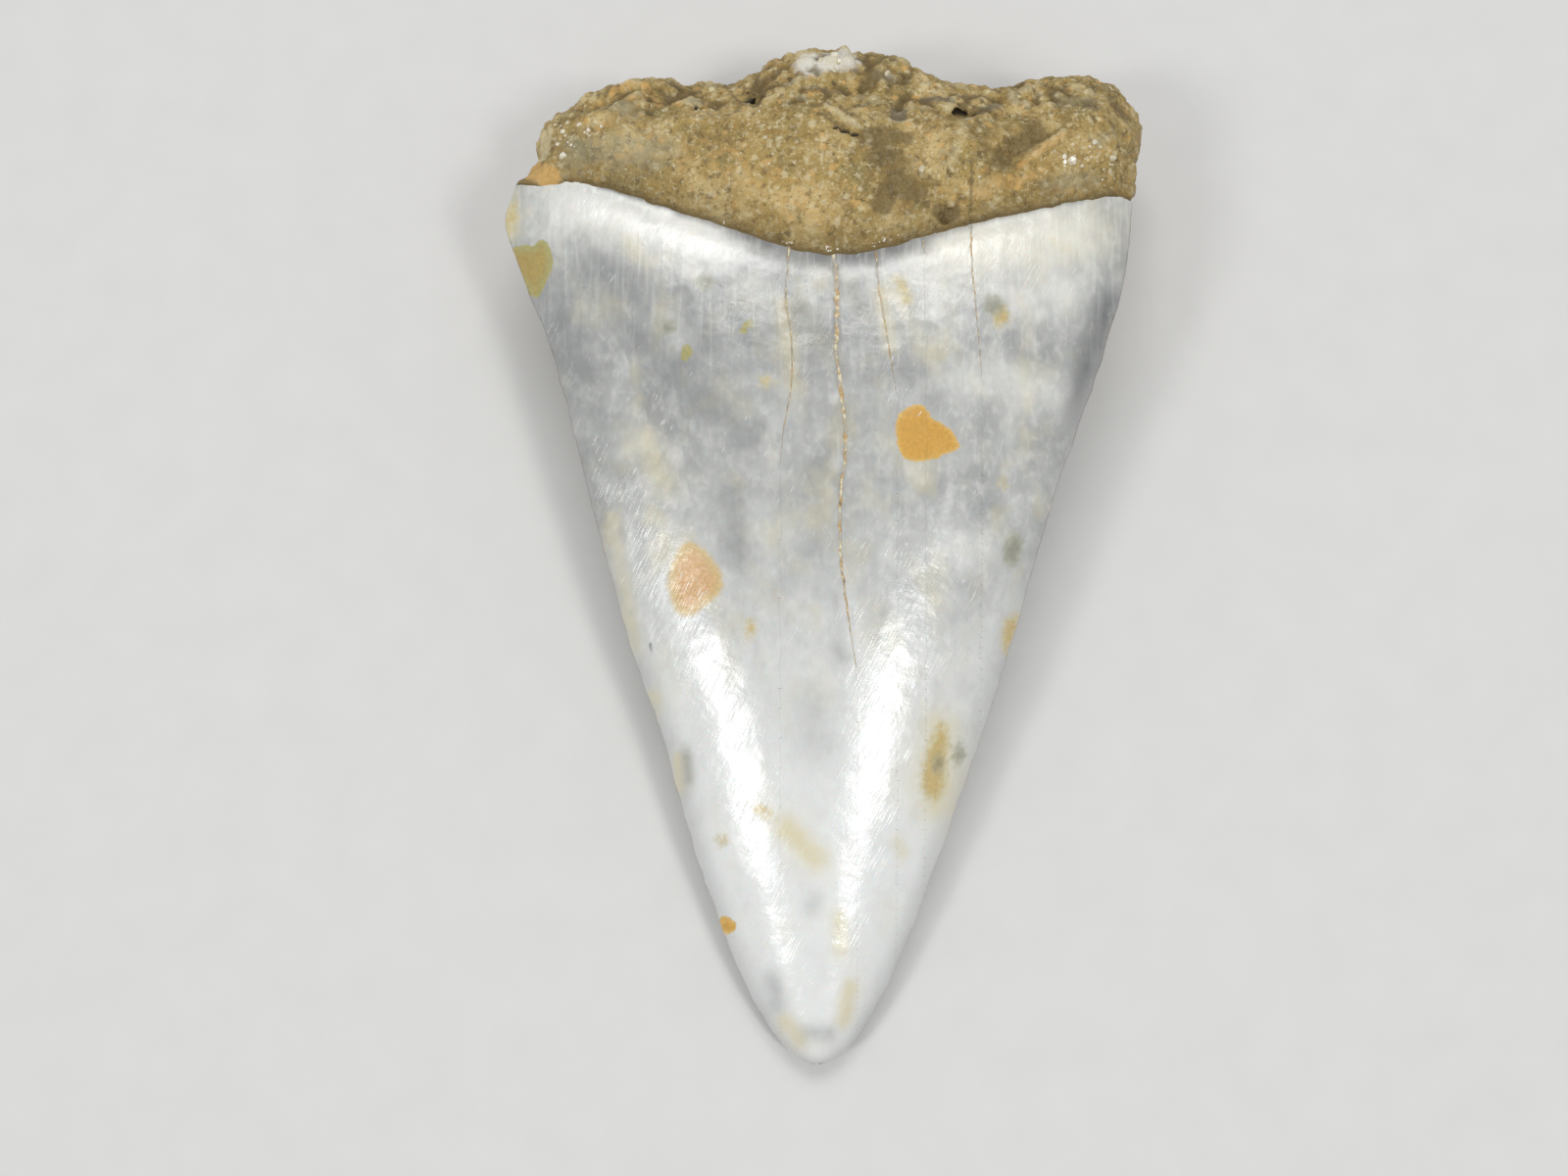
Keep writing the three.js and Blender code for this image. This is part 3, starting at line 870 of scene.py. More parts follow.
@dataclass(frozen=True)
class QuartzGrains:
    """Sand grains of quartz stuck in the root's crust, each a small faceted stone.

    Attributes:
        placed: Middle and radius of the ones that catch the eye, in millimetres.
        strewn: Lines along which small ones lie; the amount says how many.
        radii: The least and the greatest radius of the small ones.
        reach: How far the crust may be from a grain's middle: so many of its radii, and millimetres more.
        sunk: How deep each sits in the crust, as a share of its radius.
        squash: Its least width, as a share of its greatest.
        seed: Seed of their places, sizes and turns.
    """

    placed: tuple[tuple[float, float, float], ...] = (
        (-15.19, 22.24, 0.26), (-15.14, 20.72, 0.38), (-15.73, 23.12, 0.2), (-14.26, 22.34, 0.2),
        (-13.67, 21.91, 0.18), (-15.5, 21.6, 0.22), (-15.0, 21.9, 0.16), (-14.9, 22.8, 0.18),
        (-14.7, 21.3, 0.15), (-12.9, 22.1, 0.15), (-3.73, 21.14, 0.2), (0.13, 27.17, 0.34),
        (0.17, 26.43, 0.3), (-0.55, 27.05, 0.28), (0.5, 26.9, 0.22), (4.97, 19.47, 0.26),
        (8.12, 18.69, 0.16), (13.4, 20.13, 0.45), (13.0, 20.3, 0.2), (15.78, 20.56, 0.34),
        (15.67, 19.85, 0.32), (14.69, 21.29, 0.24), (14.02, 19.96, 0.22), (12.95, 19.98, 0.2),
        (15.1, 21.02, 0.18), (3.32, 26.31, 0.26))
    strewn: tuple[Stroke, ...] = Stroke.rows(
        (-15.6, 22.8, -15.0, 20.9, 0.6, 12), (-14.4, 22.2, -12.6, 21.2, 0.6, 8),
        (-1.0, 26.6, 1.2, 27.2, 0.6, 14), (12.4, 20.2, 15.4, 20.6, 0.8, 14),
        (15.4, 19.6, 16.2, 21.2, 0.5, 7), (-5.0, 22.2, -3.7, 22.1, 0.3, 6),
        (-9.0, 20.0, 6.0, 19.5, 2.2, 16), (-10.0, 23.0, 10.0, 22.5, 1.4, 16),
        (-2.7, 15.4, -2.1, 15.2, 0.15, 5), (-0.4, 15.0, 0.4, 15.0, 0.15, 7),
        (2.2, 15.2, 3.6, 15.6, 0.15, 8), (-6.4, 16.7, -5.8, 16.5, 0.15, 3))
    radii: Point = (0.05, 0.11)
    reach: Point = (2.0, 0.2)
    sunk: float = 0.2
    squash: float = 0.6
    seed: int = 7

    def scatter(self, mesh: bpy.types.Mesh, slot: int) -> None:
        """Sets the grains into the root's outer face.

        Args:
            mesh: The tooth's finished mesh.
            slot: The number of their material.
        """
        surface = Surface.of(mesh)
        crust = np.flatnonzero(surface.labial & (surface.past_enamel > 0))
        from_above = finder(surface.places[crust] * (1.0, 1.0, 0.0))
        times, more = self.reach
        picker = random.Random(self.seed)
        bm = bmesh.new()
        bm.from_mesh(mesh)
        for x, y, radius in self._spots(picker):
            _, found, away = from_above.find((x, y, 0.0))
            if away > times * radius + more:
                continue
            vertex = crust[found]
            spot = Vector(surface.places[vertex] - surface.normals[vertex] * radius * self.sunk)
            turn = Euler([picker.uniform(0, math.tau) for _ in range(3)]).to_matrix().to_4x4()
            widths = [radius * picker.uniform(self.squash, 1) * MM for _ in range(3)]
            made = bmesh.ops.create_icosphere(bm, subdivisions=1, radius=1.0, matrix=(
                Matrix.Translation(spot * MM) @ turn @ Matrix.Diagonal((*widths, 1))))
            for face in {face for corner in made["verts"] for face in corner.link_faces}:
                face.material_index = slot
                face.smooth = False
        bm.to_mesh(mesh)
        bm.free()

    def _spots(self, picker: random.Random) -> list[tuple[float, float, float]]:
        """Lists the middle and the radius of every grain.

        Args:
            picker: Picks the places and the sizes.

        Returns:
            Their x, y and radius in millimetres.
        """
        spots = list(self.placed)
        for line in self.strewn:
            for _ in range(round(line.amount)):
                share, off = picker.random(), [picker.gauss(0, line.radius / 2) for _ in range(2)]
                x, y = (a + (b - a) * share + d for a, b, d in zip(line.start, line.end, off))
                spots.append((x, y, picker.uniform(*self.radii)))
        return spots


@dataclass
class Tooth:
    """The tooth as one piece: the CAD solid smoothed, cut finer, carved, marked and dressed.

    Attributes:
        weld: Distance under which two corners are one, in millimetres.
        flat_enough: Angle under which two triangles become one quad, in degrees.
        edge_angle: Angle from which an edge of the crown stays crisp, in degrees.
        edge_crease: How crisp it stays, from 0 to 1.
        levels: How often the surface is subdivided.
        root_margin: Past the enamel's end, where the root's extra cuts start, in millimetres.
        crack_margin: How far round a crack the mesh is cut finer, in millimetres.
        relief: The fine shape.
        markings: The colour marks.
        quartz: The grains in the crust.
    """

    weld: float = 0.001
    flat_enough: float = 60.0
    edge_angle: float = 40.0
    edge_crease: float = 0.75
    levels: int = 2
    root_margin: float = 0.2
    crack_margin: float = 0.3
    relief: Relief = field(default_factory=Relief)
    markings: Markings = field(default_factory=Markings)
    quartz: QuartzGrains = field(default_factory=QuartzGrains)

    def build(self, enamel: bpy.types.Material, bone: bpy.types.Material,
              quartz: bpy.types.Material) -> bpy.types.Object:
        """Builds the piece.

        Args:
            enamel: The crown's material.
            bone: The root's material.
            quartz: The material of the grains in its crust.

        Returns:
            The finished object, riding on its body in place of the CAD solid.
        """
        mesh = self._smooth(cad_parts[CAD_NODE].data)
        self._cut_finer(mesh)
        surface = Surface.of(mesh)
        self.relief.carve(mesh, self.markings.cracks)
        self.markings.write(mesh, surface)
        write_attribute(mesh, Landmark.PAST_ENAMEL.value, surface.past_enamel)
        write_attribute(mesh, Landmark.FROM_EDGE.value, surface.from_edge)
        self._dress(mesh, surface, enamel, bone)
        mesh.materials.append(quartz)
        self.quartz.scatter(mesh, len(mesh.materials) - 1)
        tooth = put("mako_tooth", mesh)
        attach(tooth, BODY)
        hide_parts(CAD_NODE)
        return tooth

    def _smooth(self, solid: bpy.types.Mesh) -> bpy.types.Mesh:
        """Turns the solid's triangles to quads and subdivides them.

        Args:
            solid: The CAD node's mesh, which stays as it is.

        Returns:
            A new, smooth mesh.
        """
        bm = bmesh.new()
        bm.from_mesh(solid)
        bmesh.ops.remove_doubles(bm, verts=bm.verts, dist=self.weld * MM)
        flat = math.radians(self.flat_enough)
        bmesh.ops.join_triangles(bm, faces=bm.faces[:], angle_face_threshold=flat,
                                 angle_shape_threshold=flat, topology_influence=1.0)
        crease = bm.edges.layers.float.new("crease_edge")
        for edge in bm.edges:
            middle = (edge.verts[0].co + edge.verts[1].co) / 2 / MM
            enamel_end = through(LABIAL_ENAMEL, np.array([middle.x]))[0]
            in_crown = middle.y < min(enamel_end, LABIAL_ENAMEL[-1][1])
            if in_crown and edge.calc_face_angle(0) > math.radians(self.edge_angle):
                edge[crease] = self.edge_crease
        coarse = bpy.data.meshes.new("tooth_quads")
        bm.to_mesh(coarse)
        bm.free()
        holder = put("tooth_quads", coarse)
        subdivision = holder.modifiers.new("smooth", "SUBSURF")
        subdivision.levels = subdivision.render_levels = self.levels
        depsgraph = bpy.context.evaluated_depsgraph_get()
        mesh = bpy.data.meshes.new_from_object(holder.evaluated_get(depsgraph))
        bpy.data.objects.remove(holder)
        bpy.data.meshes.remove(coarse)
        return mesh

    def _cut_finer(self, mesh: bpy.types.Mesh) -> None:
        """Halves the edges that run across the root's outer face, and those along the cracks.

        Args:
            mesh: The smooth mesh, changed in place.
        """
        surface = Surface.of(mesh)
        xy = surface.places[:, :2]
        near_crack = np.zeros(len(xy), bool)
        for crack in self.markings.cracks:
            offset = np.abs(crack.offset(xy)) * crack.half_width
            bottom, top = crack.line[-1][1], crack.line[0][1]
            along = (xy[:, 1] > bottom) & (xy[:, 1] < top) & (surface.labial != crack.inner)
            near_crack |= (offset < self.crack_margin) & along
        near_crack &= surface.past_enamel < 0
        rough = surface.labial & (surface.past_enamel > self.root_margin)
        bm = bmesh.new()
        bm.from_mesh(mesh)
        across, fine = [], []
        for edge in bm.edges:
            run = edge.verts[1].co - edge.verts[0].co
            if all(rough[v.index] for v in edge.verts) and abs(run.x) > abs(run.y):
                across.append(edge)
            if all(near_crack[v.index] for v in edge.verts):
                fine.append(edge)
        bmesh.ops.subdivide_edges(bm, edges=across + fine, cuts=1, use_grid_fill=True)
        bm.to_mesh(mesh)
        bm.free()

    @staticmethod
    def _dress(mesh: bpy.types.Mesh, surface: Surface, enamel: bpy.types.Material,
               bone: bpy.types.Material) -> None:
        """Gives the crown's faces the enamel and the root's faces the bone.

        Args:
            mesh: The tooth's mesh.
            surface: The same mesh before its relief.
            enamel: The crown's material.
            bone: The root's material.
        """
        mesh.materials.clear()
        mesh.materials.append(enamel)
        mesh.materials.append(bone)
        for face in mesh.polygons:
            face.use_smooth = True
            face.material_index = int(surface.past_enamel[list(face.vertices)].mean() > 0)


@dataclass(frozen=True)
class Mottle:
    """Irregular patches: a noise around 0.5, or a strength that it sets.

    Attributes:
        width: Their size across the tooth, in millimetres.
        length: Their size along it, in millimetres. At 0 they are as long as they are wide.
        bounds: Values of the noise between which their strength changes. Without them the noise is read.
        strengths: Their strength below and above those bounds.
        detail: How many times finer patches are added.
        roughness: How strong the finer patches are, from 0 to 1.
        distortion: How far they are bent.
        shift: How far they are moved along X, in millimetres, so that two of one size differ.
        turn: How far they are turned about Z, in degrees.
    """

    width: float
    length: float = 0.0
    bounds: Point | None = None
    strengths: Point = (0.0, 1.0)
    detail: float = 2.0
    roughness: float = 0.5
    distortion: float = 0.0
    shift: float = 0.0
    turn: float = 0.0


Source = Mark | Mottle | bpy.types.Node | bpy.types.NodeSocket


def between(bounds: Point, strengths: Point = (0.0, 1.0)) -> Inputs:
    """Returns the inputs of a range node that goes from one strength to the other between two bounds."""
    return {"From Min": bounds[0], "From Max": bounds[1], "To Min": strengths[0], "To Max": strengths[1]}


class Coat:
    """A material in the making.

    Attributes:
        material: The material.
        place: The node that gives the place in the object, in millimetres.
        colour: The node that gives the colour so far.
    """

    def __init__(self, name: str, clouds: Mottle, tints: Tints) -> None:
        """Starts a material.

        Args:
            name: Its name.
            clouds: The mottling of its ground, under all its layers.
            tints: The ground's tints.
        """
        self.material = bpy.data.materials.new(name)
        self.material.use_nodes = True
        self.place = self.add("ShaderNodeMapping", {}, {
            "Vector": self.add("ShaderNodeTexCoord").outputs["Object"], "Scale": [1 / MM] * 3})
        self.colour = self.add("ShaderNodeValToRGB", {}, {"Fac": clouds}, tints)

    def add(self, kind: str, settings: dict[str, object] | None = None, inputs: Inputs | None = None,
            tints: Tints = ()) -> bpy.types.Node:
        """Adds a shader node with its settings and links.

        Args:
            kind: The node's type, such as "ShaderNodeMath".
            settings: The node's own properties.
            inputs: What its inputs get, as feed takes it.
            tints: The tints of a colour ramp.

        Returns:
            The new node.
        """
        made = self.material.node_tree.nodes.new(kind)
        for name, value in (settings or {}).items():
            setattr(made, name, value)
        self.feed(made, inputs or {})
        for i, (place, colour) in enumerate(tints):
            elements = made.color_ramp.elements
            element = elements[i] if i < len(elements) else elements.new(place)
            element.position, element.color = place, linear(colour)
        return made

    def feed(self, node: bpy.types.Node, inputs: Inputs) -> None:
        """Links or sets a node's inputs.

        Args:
            node: The node.
            inputs: A value for each input, by the input's name or number. A node or a socket is linked, a
                mark is read from the mesh, a mottle gets nodes of its own, and a string is a hex colour.
        """
        for key, value in inputs.items():
            socket = node.inputs[key] if isinstance(key, int) else next(
                s for s in node.inputs if s.name == key and s.enabled)
            if isinstance(value, Mark):
                value = self.add("ShaderNodeAttribute", {"attribute_name": value.value}).outputs["Fac"]
            elif isinstance(value, Mottle):
                value = self.mottled(value)
            if isinstance(value, bpy.types.Node):
                value = next(s for s in value.outputs if s.enabled)
            if isinstance(value, bpy.types.NodeSocket):
                self.material.node_tree.links.new(value, socket)
            else:
                socket.default_value = linear(value) if isinstance(value, str) else value

    def mottled(self, mottle: Mottle) -> bpy.types.Node:
        """Adds a mottling.

        Args:
            mottle: The mottling.

        Returns:
            The node that gives its strength.
        """
        place = self.place
        if mottle.turn:
            place = self.add("ShaderNodeMapping", {}, {
                "Vector": place, "Rotation": (0.0, 0.0, math.radians(mottle.turn))})
        across, along = 1 / mottle.width, 1 / (mottle.length or mottle.width)
        stretched = self.add("ShaderNodeMapping", {}, {
            "Vector": place, "Location": (mottle.shift * across, 0.0, 0.0),
            "Scale": (across, along, along)})
        patches = self.add("ShaderNodeTexNoise", {}, {
            "Vector": stretched, "Scale": 1.0, "Detail": mottle.detail, "Roughness": mottle.roughness,
            "Distortion": mottle.distortion})
        if mottle.bounds is None:
            return patches
        reach = between(mottle.bounds, mottle.strengths)
        return self.add("ShaderNodeMapRange", {}, {"Value": patches} | reach)

    def lay(self, tint: str | bpy.types.Node, where: Source, bounds: Point | None = None,
            strength: float = 1.0) -> None:
        """Lays a tint over the colour so far.

        Args:
            tint: The tint.
            where: What says how much of it each place gets.
            bounds: Values of that between which the tint comes in. Without them it is the share itself.
            strength: The tint's share where it has come in.
        """
        if bounds is not None:
            reach = between(bounds, (0.0, strength))
            where = self.add("ShaderNodeMapRange", EASED, {"Value": where} | reach)
        self.colour = self.add("ShaderNodeMix", COLOURS, {"Factor": where, "A": self.colour, "B": tint})

    def finish(self, inputs: Inputs) -> bpy.types.Material:
        """Ends the material.

        Args:
            inputs: What the shader's inputs get apart from the colour, as feed takes it.

        Returns:
            The material.
        """
        self.feed(self.material.node_tree.nodes["Principled BSDF"], {"Base Color": self.colour} | inputs)
        return self.material


@dataclass(frozen=True)
class StainLook:
    """How one kind of stain looks in the enamel.

    Attributes:
        kind: The kind of stain.
        core: Its colour inside.
        rim: Its colour at the edge.
        rim_width: How wide that edge is, in millimetres.
        softness: How wide its outline fades, in millimetres.
        raggedness: How far its outline is frayed, in millimetres.
        strength: How far it covers the enamel, from 0 to 1.
    """

    kind: Stain
    core: str
    rim: str
    rim_width: float
    softness: float
    raggedness: float
    strength: float


@dataclass(frozen=True)
class FossilEnameloid:
    """Enameloid, a glassy fluorapatite, that lay in sediment and was then worn smooth and polished.

    It gives the eye a milky blue-grey body with sharp highlights, cloudy mottling, greyer thin edges, fine
    lengthwise wrinkles by the root, slanting scuffs with painted white glints, iron and mineral stains, and
    painted sheen and painted shade by the root. Sizes in millimetres.
    Its colours come first.

    Attributes:
        ior: Its index of refraction.
        scatter_weight: How far light scatters in the enamel, from 0 to 1.
        scatter_depth: How deep it does.
        polish: The surface's roughness, from its best polish to its most worn.
        dullness: Roughness that the cracks and the worn end by the root, where shade is painted, add.
        clouds: The large clouds of the body.
        cloud_tints: Their tints.
        paling: Where along Y the body starts to pale towards the tip, and where it is palest.
        tip_white: How white it is there.
        tip_calm: How far the mottling has faded there.
        mottling: Tints of the body's mottling.
        edge: How far from the cutting edge the body is its own colour, and where it is greyest.
        edge_grey: How grey it is at the edge.
        patches: How uneven the washes are.
        washes: Tint and strength of each wash, among them painted sheen and painted shade.
        wrinkle: The wrinkles.
        wrinkle_reach: Past the enamel's end, where the wrinkles set in and where they are full.
        wrinkle_white: The wrinkle's height at which it is whitest, and how white that is.
        neck_dullness: How far the inner face's neck band covers the enamel.
        scuffs: The short slanting scuffs, painted as white glints, drawn wider than real ones so that they
            show.
        scuff_likely: How much more likely they are in a scuffed zone.
        scuff_bounds: Values at which the glint of the scuffs sets in and is full.
        glint_white: How white the painted glint is.
        stains: The looks of the stains, from the lowest to the topmost.
        fray: The fraying of their outlines.
        speckle: How uneven their colour is.
        crack_wobble: How far a crack wanders, in half-widths.
        crack_width: How far from its middle a crack ends and is full, in half-widths.
        crack_patches: The patches of a crack's filling.
        crack_tints: Their tints.
        crack_breaks: How clear a crack is along its length.
        scratch: The fine scratches.
        worn: Where they are.
        dimples: The soft dimples of the polish.
        hammering: The small dimples of the polish.
        heights: How high scratches, wrinkles, soft and small dimples and the cracks stand out.
    """

    slate: str = "#878988"
    body: str = "#b4b5b1"
    milk: str = "#d3d4ce"
    white: str = "#e9eae7"
    # Colour of the painted shade.
    shade: str = "#505052"
    # Colour of the painted glints on the scuffs.
    scuff_glint: str = "#f6f5ef"
    neck: str = "#a79c7c"
    # Also the colour of the painted sheen.
    bright: str = "#eeede6"
    cream: str = "#d8cda2"
    smoke: str = "#93917f"
    crack_pale: str = "#e0d6b4"
    crack_fill: str = "#c29e5f"
    crack_dark: str = "#75603c"
    ior: float = 1.62
    scatter_weight: float = 0.12
    scatter_depth: float = 0.8
    polish: Mottle = Mottle(1.25, bounds=(0.3, 0.7), strengths=(0.15, 0.27), detail=4.0)
    dullness: Point = (0.5, 0.4)
    clouds: Mottle = Mottle(5.5, detail=3.0, roughness=0.55, distortion=0.4)
    cloud_tints: Tints = ((0.2, slate), (0.5, body), (0.8, milk))
    paling: Point = (6.0, -19.0)
    tip_white: float = 0.92
    tip_calm: float = 0.75
    mottling: tuple[tuple[str, Mottle], ...] = tuple(
        (tint, Mottle(width, length, (0.5, 0.72), (0.0, strength), 2.5, distortion=0.3, shift=shift))
        for tint, width, length, strength, shift in (
            (slate, 1.1, 1.6, 0.22, 36.63), (bright, 1.1, 1.6, 0.36, 61.05),
            (slate, 0.38, 0.62, 0.14, 29.526), (bright, 0.38, 0.62, 0.26, 37.962),
            (cream, 1.7, 2.6, 0.4, 207.57)))
    edge: Point = (1.8, 0.0)
    edge_grey: float = 0.35
    patches: Mottle = Mottle(1.1, bounds=(0.3, 0.7), strengths=(0.7, 1.15), detail=3.0, roughness=0.6)
    # The pale wash partly paints sheen and the shade wash paints shade.
    washes: tuple[tuple[Wash, str, float], ...] = (
        (Wash.SLATE, slate, 0.9), (Wash.PALE, bright, 0.85), (Wash.CREAM, cream, 0.75),
        (Wash.SMOKE, smoke, 0.75), (Wash.SHADE, shade, 0.75))
    wrinkle: Mottle = Mottle(0.3, 3.5, (0.5, 0.75), detail=4.0, roughness=0.6, distortion=0.35)
    wrinkle_reach: Point = (-12.0, -3.0)
    wrinkle_white: Point = (0.6, 0.2)
    neck_dullness: float = 0.75
    scuffs: Mottle = Mottle(0.09, 0.95, detail=1.0, shift=0.45, turn=28.0)
    scuff_likely: float = 0.14
    scuff_bounds: Point = (0.77, 0.85)
    glint_white: float = 0.8
    stains: tuple[StainLook, ...] = (
        StainLook(Stain.YELLOW, "#c6aa62", "#cbbd8c", 0.5, 0.3, 0.35, 0.8),
        StainLook(Stain.GREY, "#84836c", "#a3a28a", 0.4, 0.2, 0.25, 0.65),
        StainLook(Stain.OLIVE, "#ac9448", "#a9a264", 0.7, 0.07, 0.14, 0.9),
        StainLook(Stain.TAN, "#d4a76c", "#d3b97e", 0.8, 0.22, 0.16, 0.9),
        StainLook(Stain.ORANGE, "#d3a143", "#dbb25c", 0.3, 0.07, 0.16, 0.97),
        StainLook(Stain.SPECK, "#5c5a52", "#77746b", 0.1, 0.07, 0.1, 0.6),
    )
    fray: Mottle = Mottle(0.3125, bounds=(0.0, 1.0), strengths=(-1.0, 1.0), detail=3.0)
    speckle: Mottle = Mottle(0.2, bounds=(0.35, 0.65), strengths=(0.88, 1.04), detail=4.0)
    crack_wobble: Mottle = Mottle(0.4, bounds=(0.3, 0.7), strengths=(-0.8, 0.8), detail=4.0)
    crack_width: Point = (1.3, 0.5)
    crack_patches: Mottle = Mottle(1 / 3.4, detail=4.0)
    crack_tints: Tints = ((0.36, crack_dark), (0.44, crack_fill), (0.52, crack_fill), (0.6, crack_pale))
    crack_breaks: Mottle = Mottle(1 / 1.7, bounds=(0.38, 0.56), strengths=(0.2, 0.9))
    scratch: Mottle = Mottle(0.09, 1.9, (0.52, 0.72), turn=28.0)
    worn: Mottle = Mottle(1 / 0.6, bounds=(0.42, 0.62), strengths=(0.2, 1.0), turn=28.0)
    dimples: Mottle = Mottle(1.1, detail=1.0)
    hammering: Mottle = Mottle(0.28, detail=3.0, roughness=0.55, turn=28.0)
    heights: tuple[float, ...] = (-0.006, 0.006, 0.03, 0.009, -0.03)

    def build(self, cracks: Iterable[Crack]) -> bpy.types.Material:
        """Builds the material.

        Args:
            cracks: The cracks that are tinted.

        Returns:
            The material.
        """
        coat = Coat("fossil_enameloid_polished", self.clouds, self.cloud_tints)
        wrinkles = self._wrinkles(coat)
        groove = self._groove(coat, cracks)
        self._body(coat)
        self._wash(coat, wrinkles)
        self._stain(coat)
        # Painted glints: the slanting scuffs are laid white where they would catch the light.
        likely = coat.add("ShaderNodeMath", TIMES_PLUS, {
            0: Wash.SCUFF_AND_GLINT, 1: self.scuff_likely, 2: self.scuffs})
        scuffed = between(self.scuff_bounds, (0.0, self.glint_white))
        coat.lay(self.scuff_glint, coat.add("ShaderNodeMapRange", {}, {"Value": likely} | scuffed))
        self._fill_cracks(coat, groove)
        return coat.finish({
            "Roughness": self._gloss(coat, groove), "IOR": self.ior,
            "Normal": self._surface(coat, wrinkles, groove),
            "Subsurface Weight": self.scatter_weight, "Subsurface Scale": self.scatter_depth * MM})

    def _body(self, coat: Coat) -> None:
        """Lays the body's pale tip, its mottling and its greyer thin edges over its clouds.

        Args:
            coat: The material in the making.
        """
        along = coat.add("ShaderNodeSeparateXYZ", {}, {"Vector": coat.place}).outputs["Y"]
        paling = between(self.paling, (0.0, self.tip_white))
        pale = coat.add("ShaderNodeMapRange", EASED, {"Value": along} | paling)
        coat.lay(self.white, pale)
        calm = coat.add("ShaderNodeMath", TIMES_PLUS, {0: pale, 1: -self.tip_calm, 2: 1.0})
        for tint, mottle in self.mottling:
            coat.lay(tint, coat.add("ShaderNodeMath", TIMES, {0: mottle, 1: calm}))
        coat.lay(self.slate, Landmark.FROM_EDGE, self.edge, self.edge_grey)

    def _wash(self, coat: Coat, wrinkles: bpy.types.Node) -> None:
        """Lays the fading tints, the white of the wrinkles and the dull neck of the inner face.

        Args:
            coat: The material in the making.
            wrinkles: The wrinkles' height.
        """
        patches = coat.mottled(self.patches)
        # Among the washes, the pale one partly paints sheen and the shade one paints shade.
        for wash, tint, strength in self.washes:
            share = coat.add("ShaderNodeMath", TIMES, {0: wash, 1: patches})
            coat.lay(tint, coat.add("ShaderNodeMath", TIMES | {"use_clamp": True}, {
                0: share, 1: strength}))
        height, white = self.wrinkle_white
        whitened = between((0.0, height), (0.0, white))
        coat.lay(self.bright, coat.add("ShaderNodeMapRange", {}, {"Value": wrinkles} | whitened))
        coat.lay(self.neck, coat.add("ShaderNodeMath", TIMES, {
            0: Landmark.NECK, 1: self.neck_dullness}))

    def _wrinkles(self, coat: Coat) -> bpy.types.Node:
        """Adds the lengthwise wrinkles, drawn as coarse as they need to show.

        Args:
            coat: The material in the making.

        Returns:
            The node that gives their height, from 0 to 1, which fades away from the root.
        """
        reach = between(self.wrinkle_reach)
        near = coat.add("ShaderNodeMapRange", EASED, {"Value": Landmark.PAST_ENAMEL} | reach)
        return coat.add("ShaderNodeMath", TIMES, {0: self.wrinkle, 1: near})

    def _stain(self, coat: Coat) -> None:
        """Lays the stains.

        Args:
            coat: The material in the making.
        """
        fray, speckle = coat.mottled(self.fray), coat.mottled(self.speckle)
        for look in self.stains:
            outside = coat.add("ShaderNodeMath", TIMES_PLUS, {0: fray, 1: look.raggedness, 2: look.kind})
            to_rim = between((-look.rim_width, 0.0))
            rim = coat.add("ShaderNodeMapRange", EASED, {"Value": outside} | to_rim)
            pigment = coat.add("ShaderNodeMix", COLOURS, {"Factor": rim, "A": look.core, "B": look.rim})
            uneven = coat.add("ShaderNodeMix", COLOURS | {"blend_type": "MULTIPLY"}, {
                "Factor": 1.0, "A": pigment, "B": speckle})
            coat.lay(uneven, outside, (look.softness, -look.softness), look.strength)

    def _groove(self, coat: Coat, cracks: Iterable[Crack]) -> bpy.types.Node:
        """Adds the cracks' lines.

        Args:
            coat: The material in the making.
            cracks: The cracks.

        Returns:
            The node that gives 1 in a crack and 0 elsewhere.
        """
        wobble = coat.mottled(self.crack_wobble)
        groove = 0.0
        for crack in cracks:
            offset = coat.add("ShaderNodeAttribute", {"attribute_name": crack.name}).outputs["Fac"]
            shifted = coat.add("ShaderNodeMath", {"operation": "ADD"}, {0: offset, 1: wobble})
            away = coat.add("ShaderNodeMath", {"operation": "ABSOLUTE"}, {0: shifted})
            inside = coat.add("ShaderNodeMapRange", EASED, {"Value": away} | between(self.crack_width))
            groove = coat.add("ShaderNodeMath", {"operation": "MAXIMUM"}, {0: groove, 1: inside})
        return groove

    def _fill_cracks(self, coat: Coat, groove: bpy.types.Node) -> None:
        """Fills the cracks with rusty silt, dark in places.

        Args:
            coat: The material in the making.
            groove: Where the cracks are.
        """
        silt = coat.add("ShaderNodeValToRGB", {}, {"Fac": self.crack_patches}, self.crack_tints)
        coat.lay(silt, coat.add("ShaderNodeMath", TIMES, {0: groove, 1: self.crack_breaks}))

    def _gloss(self, coat: Coat, groove: bpy.types.Node) -> bpy.types.Node:
        """Adds the roughness: a hand-worn polish, dull in the cracks and at the worn end by the root.

        Args:
            coat: The material in the making.
            groove: Where the cracks are.

        Returns:
            The node that gives the roughness.
        """
        gloss = coat.mottled(self.polish)
        for where, dullness in zip((groove, Wash.SHADE), self.dullness):
            gloss = coat.add("ShaderNodeMath", TIMES_PLUS, {0: where, 1: dullness, 2: gloss})
        return gloss

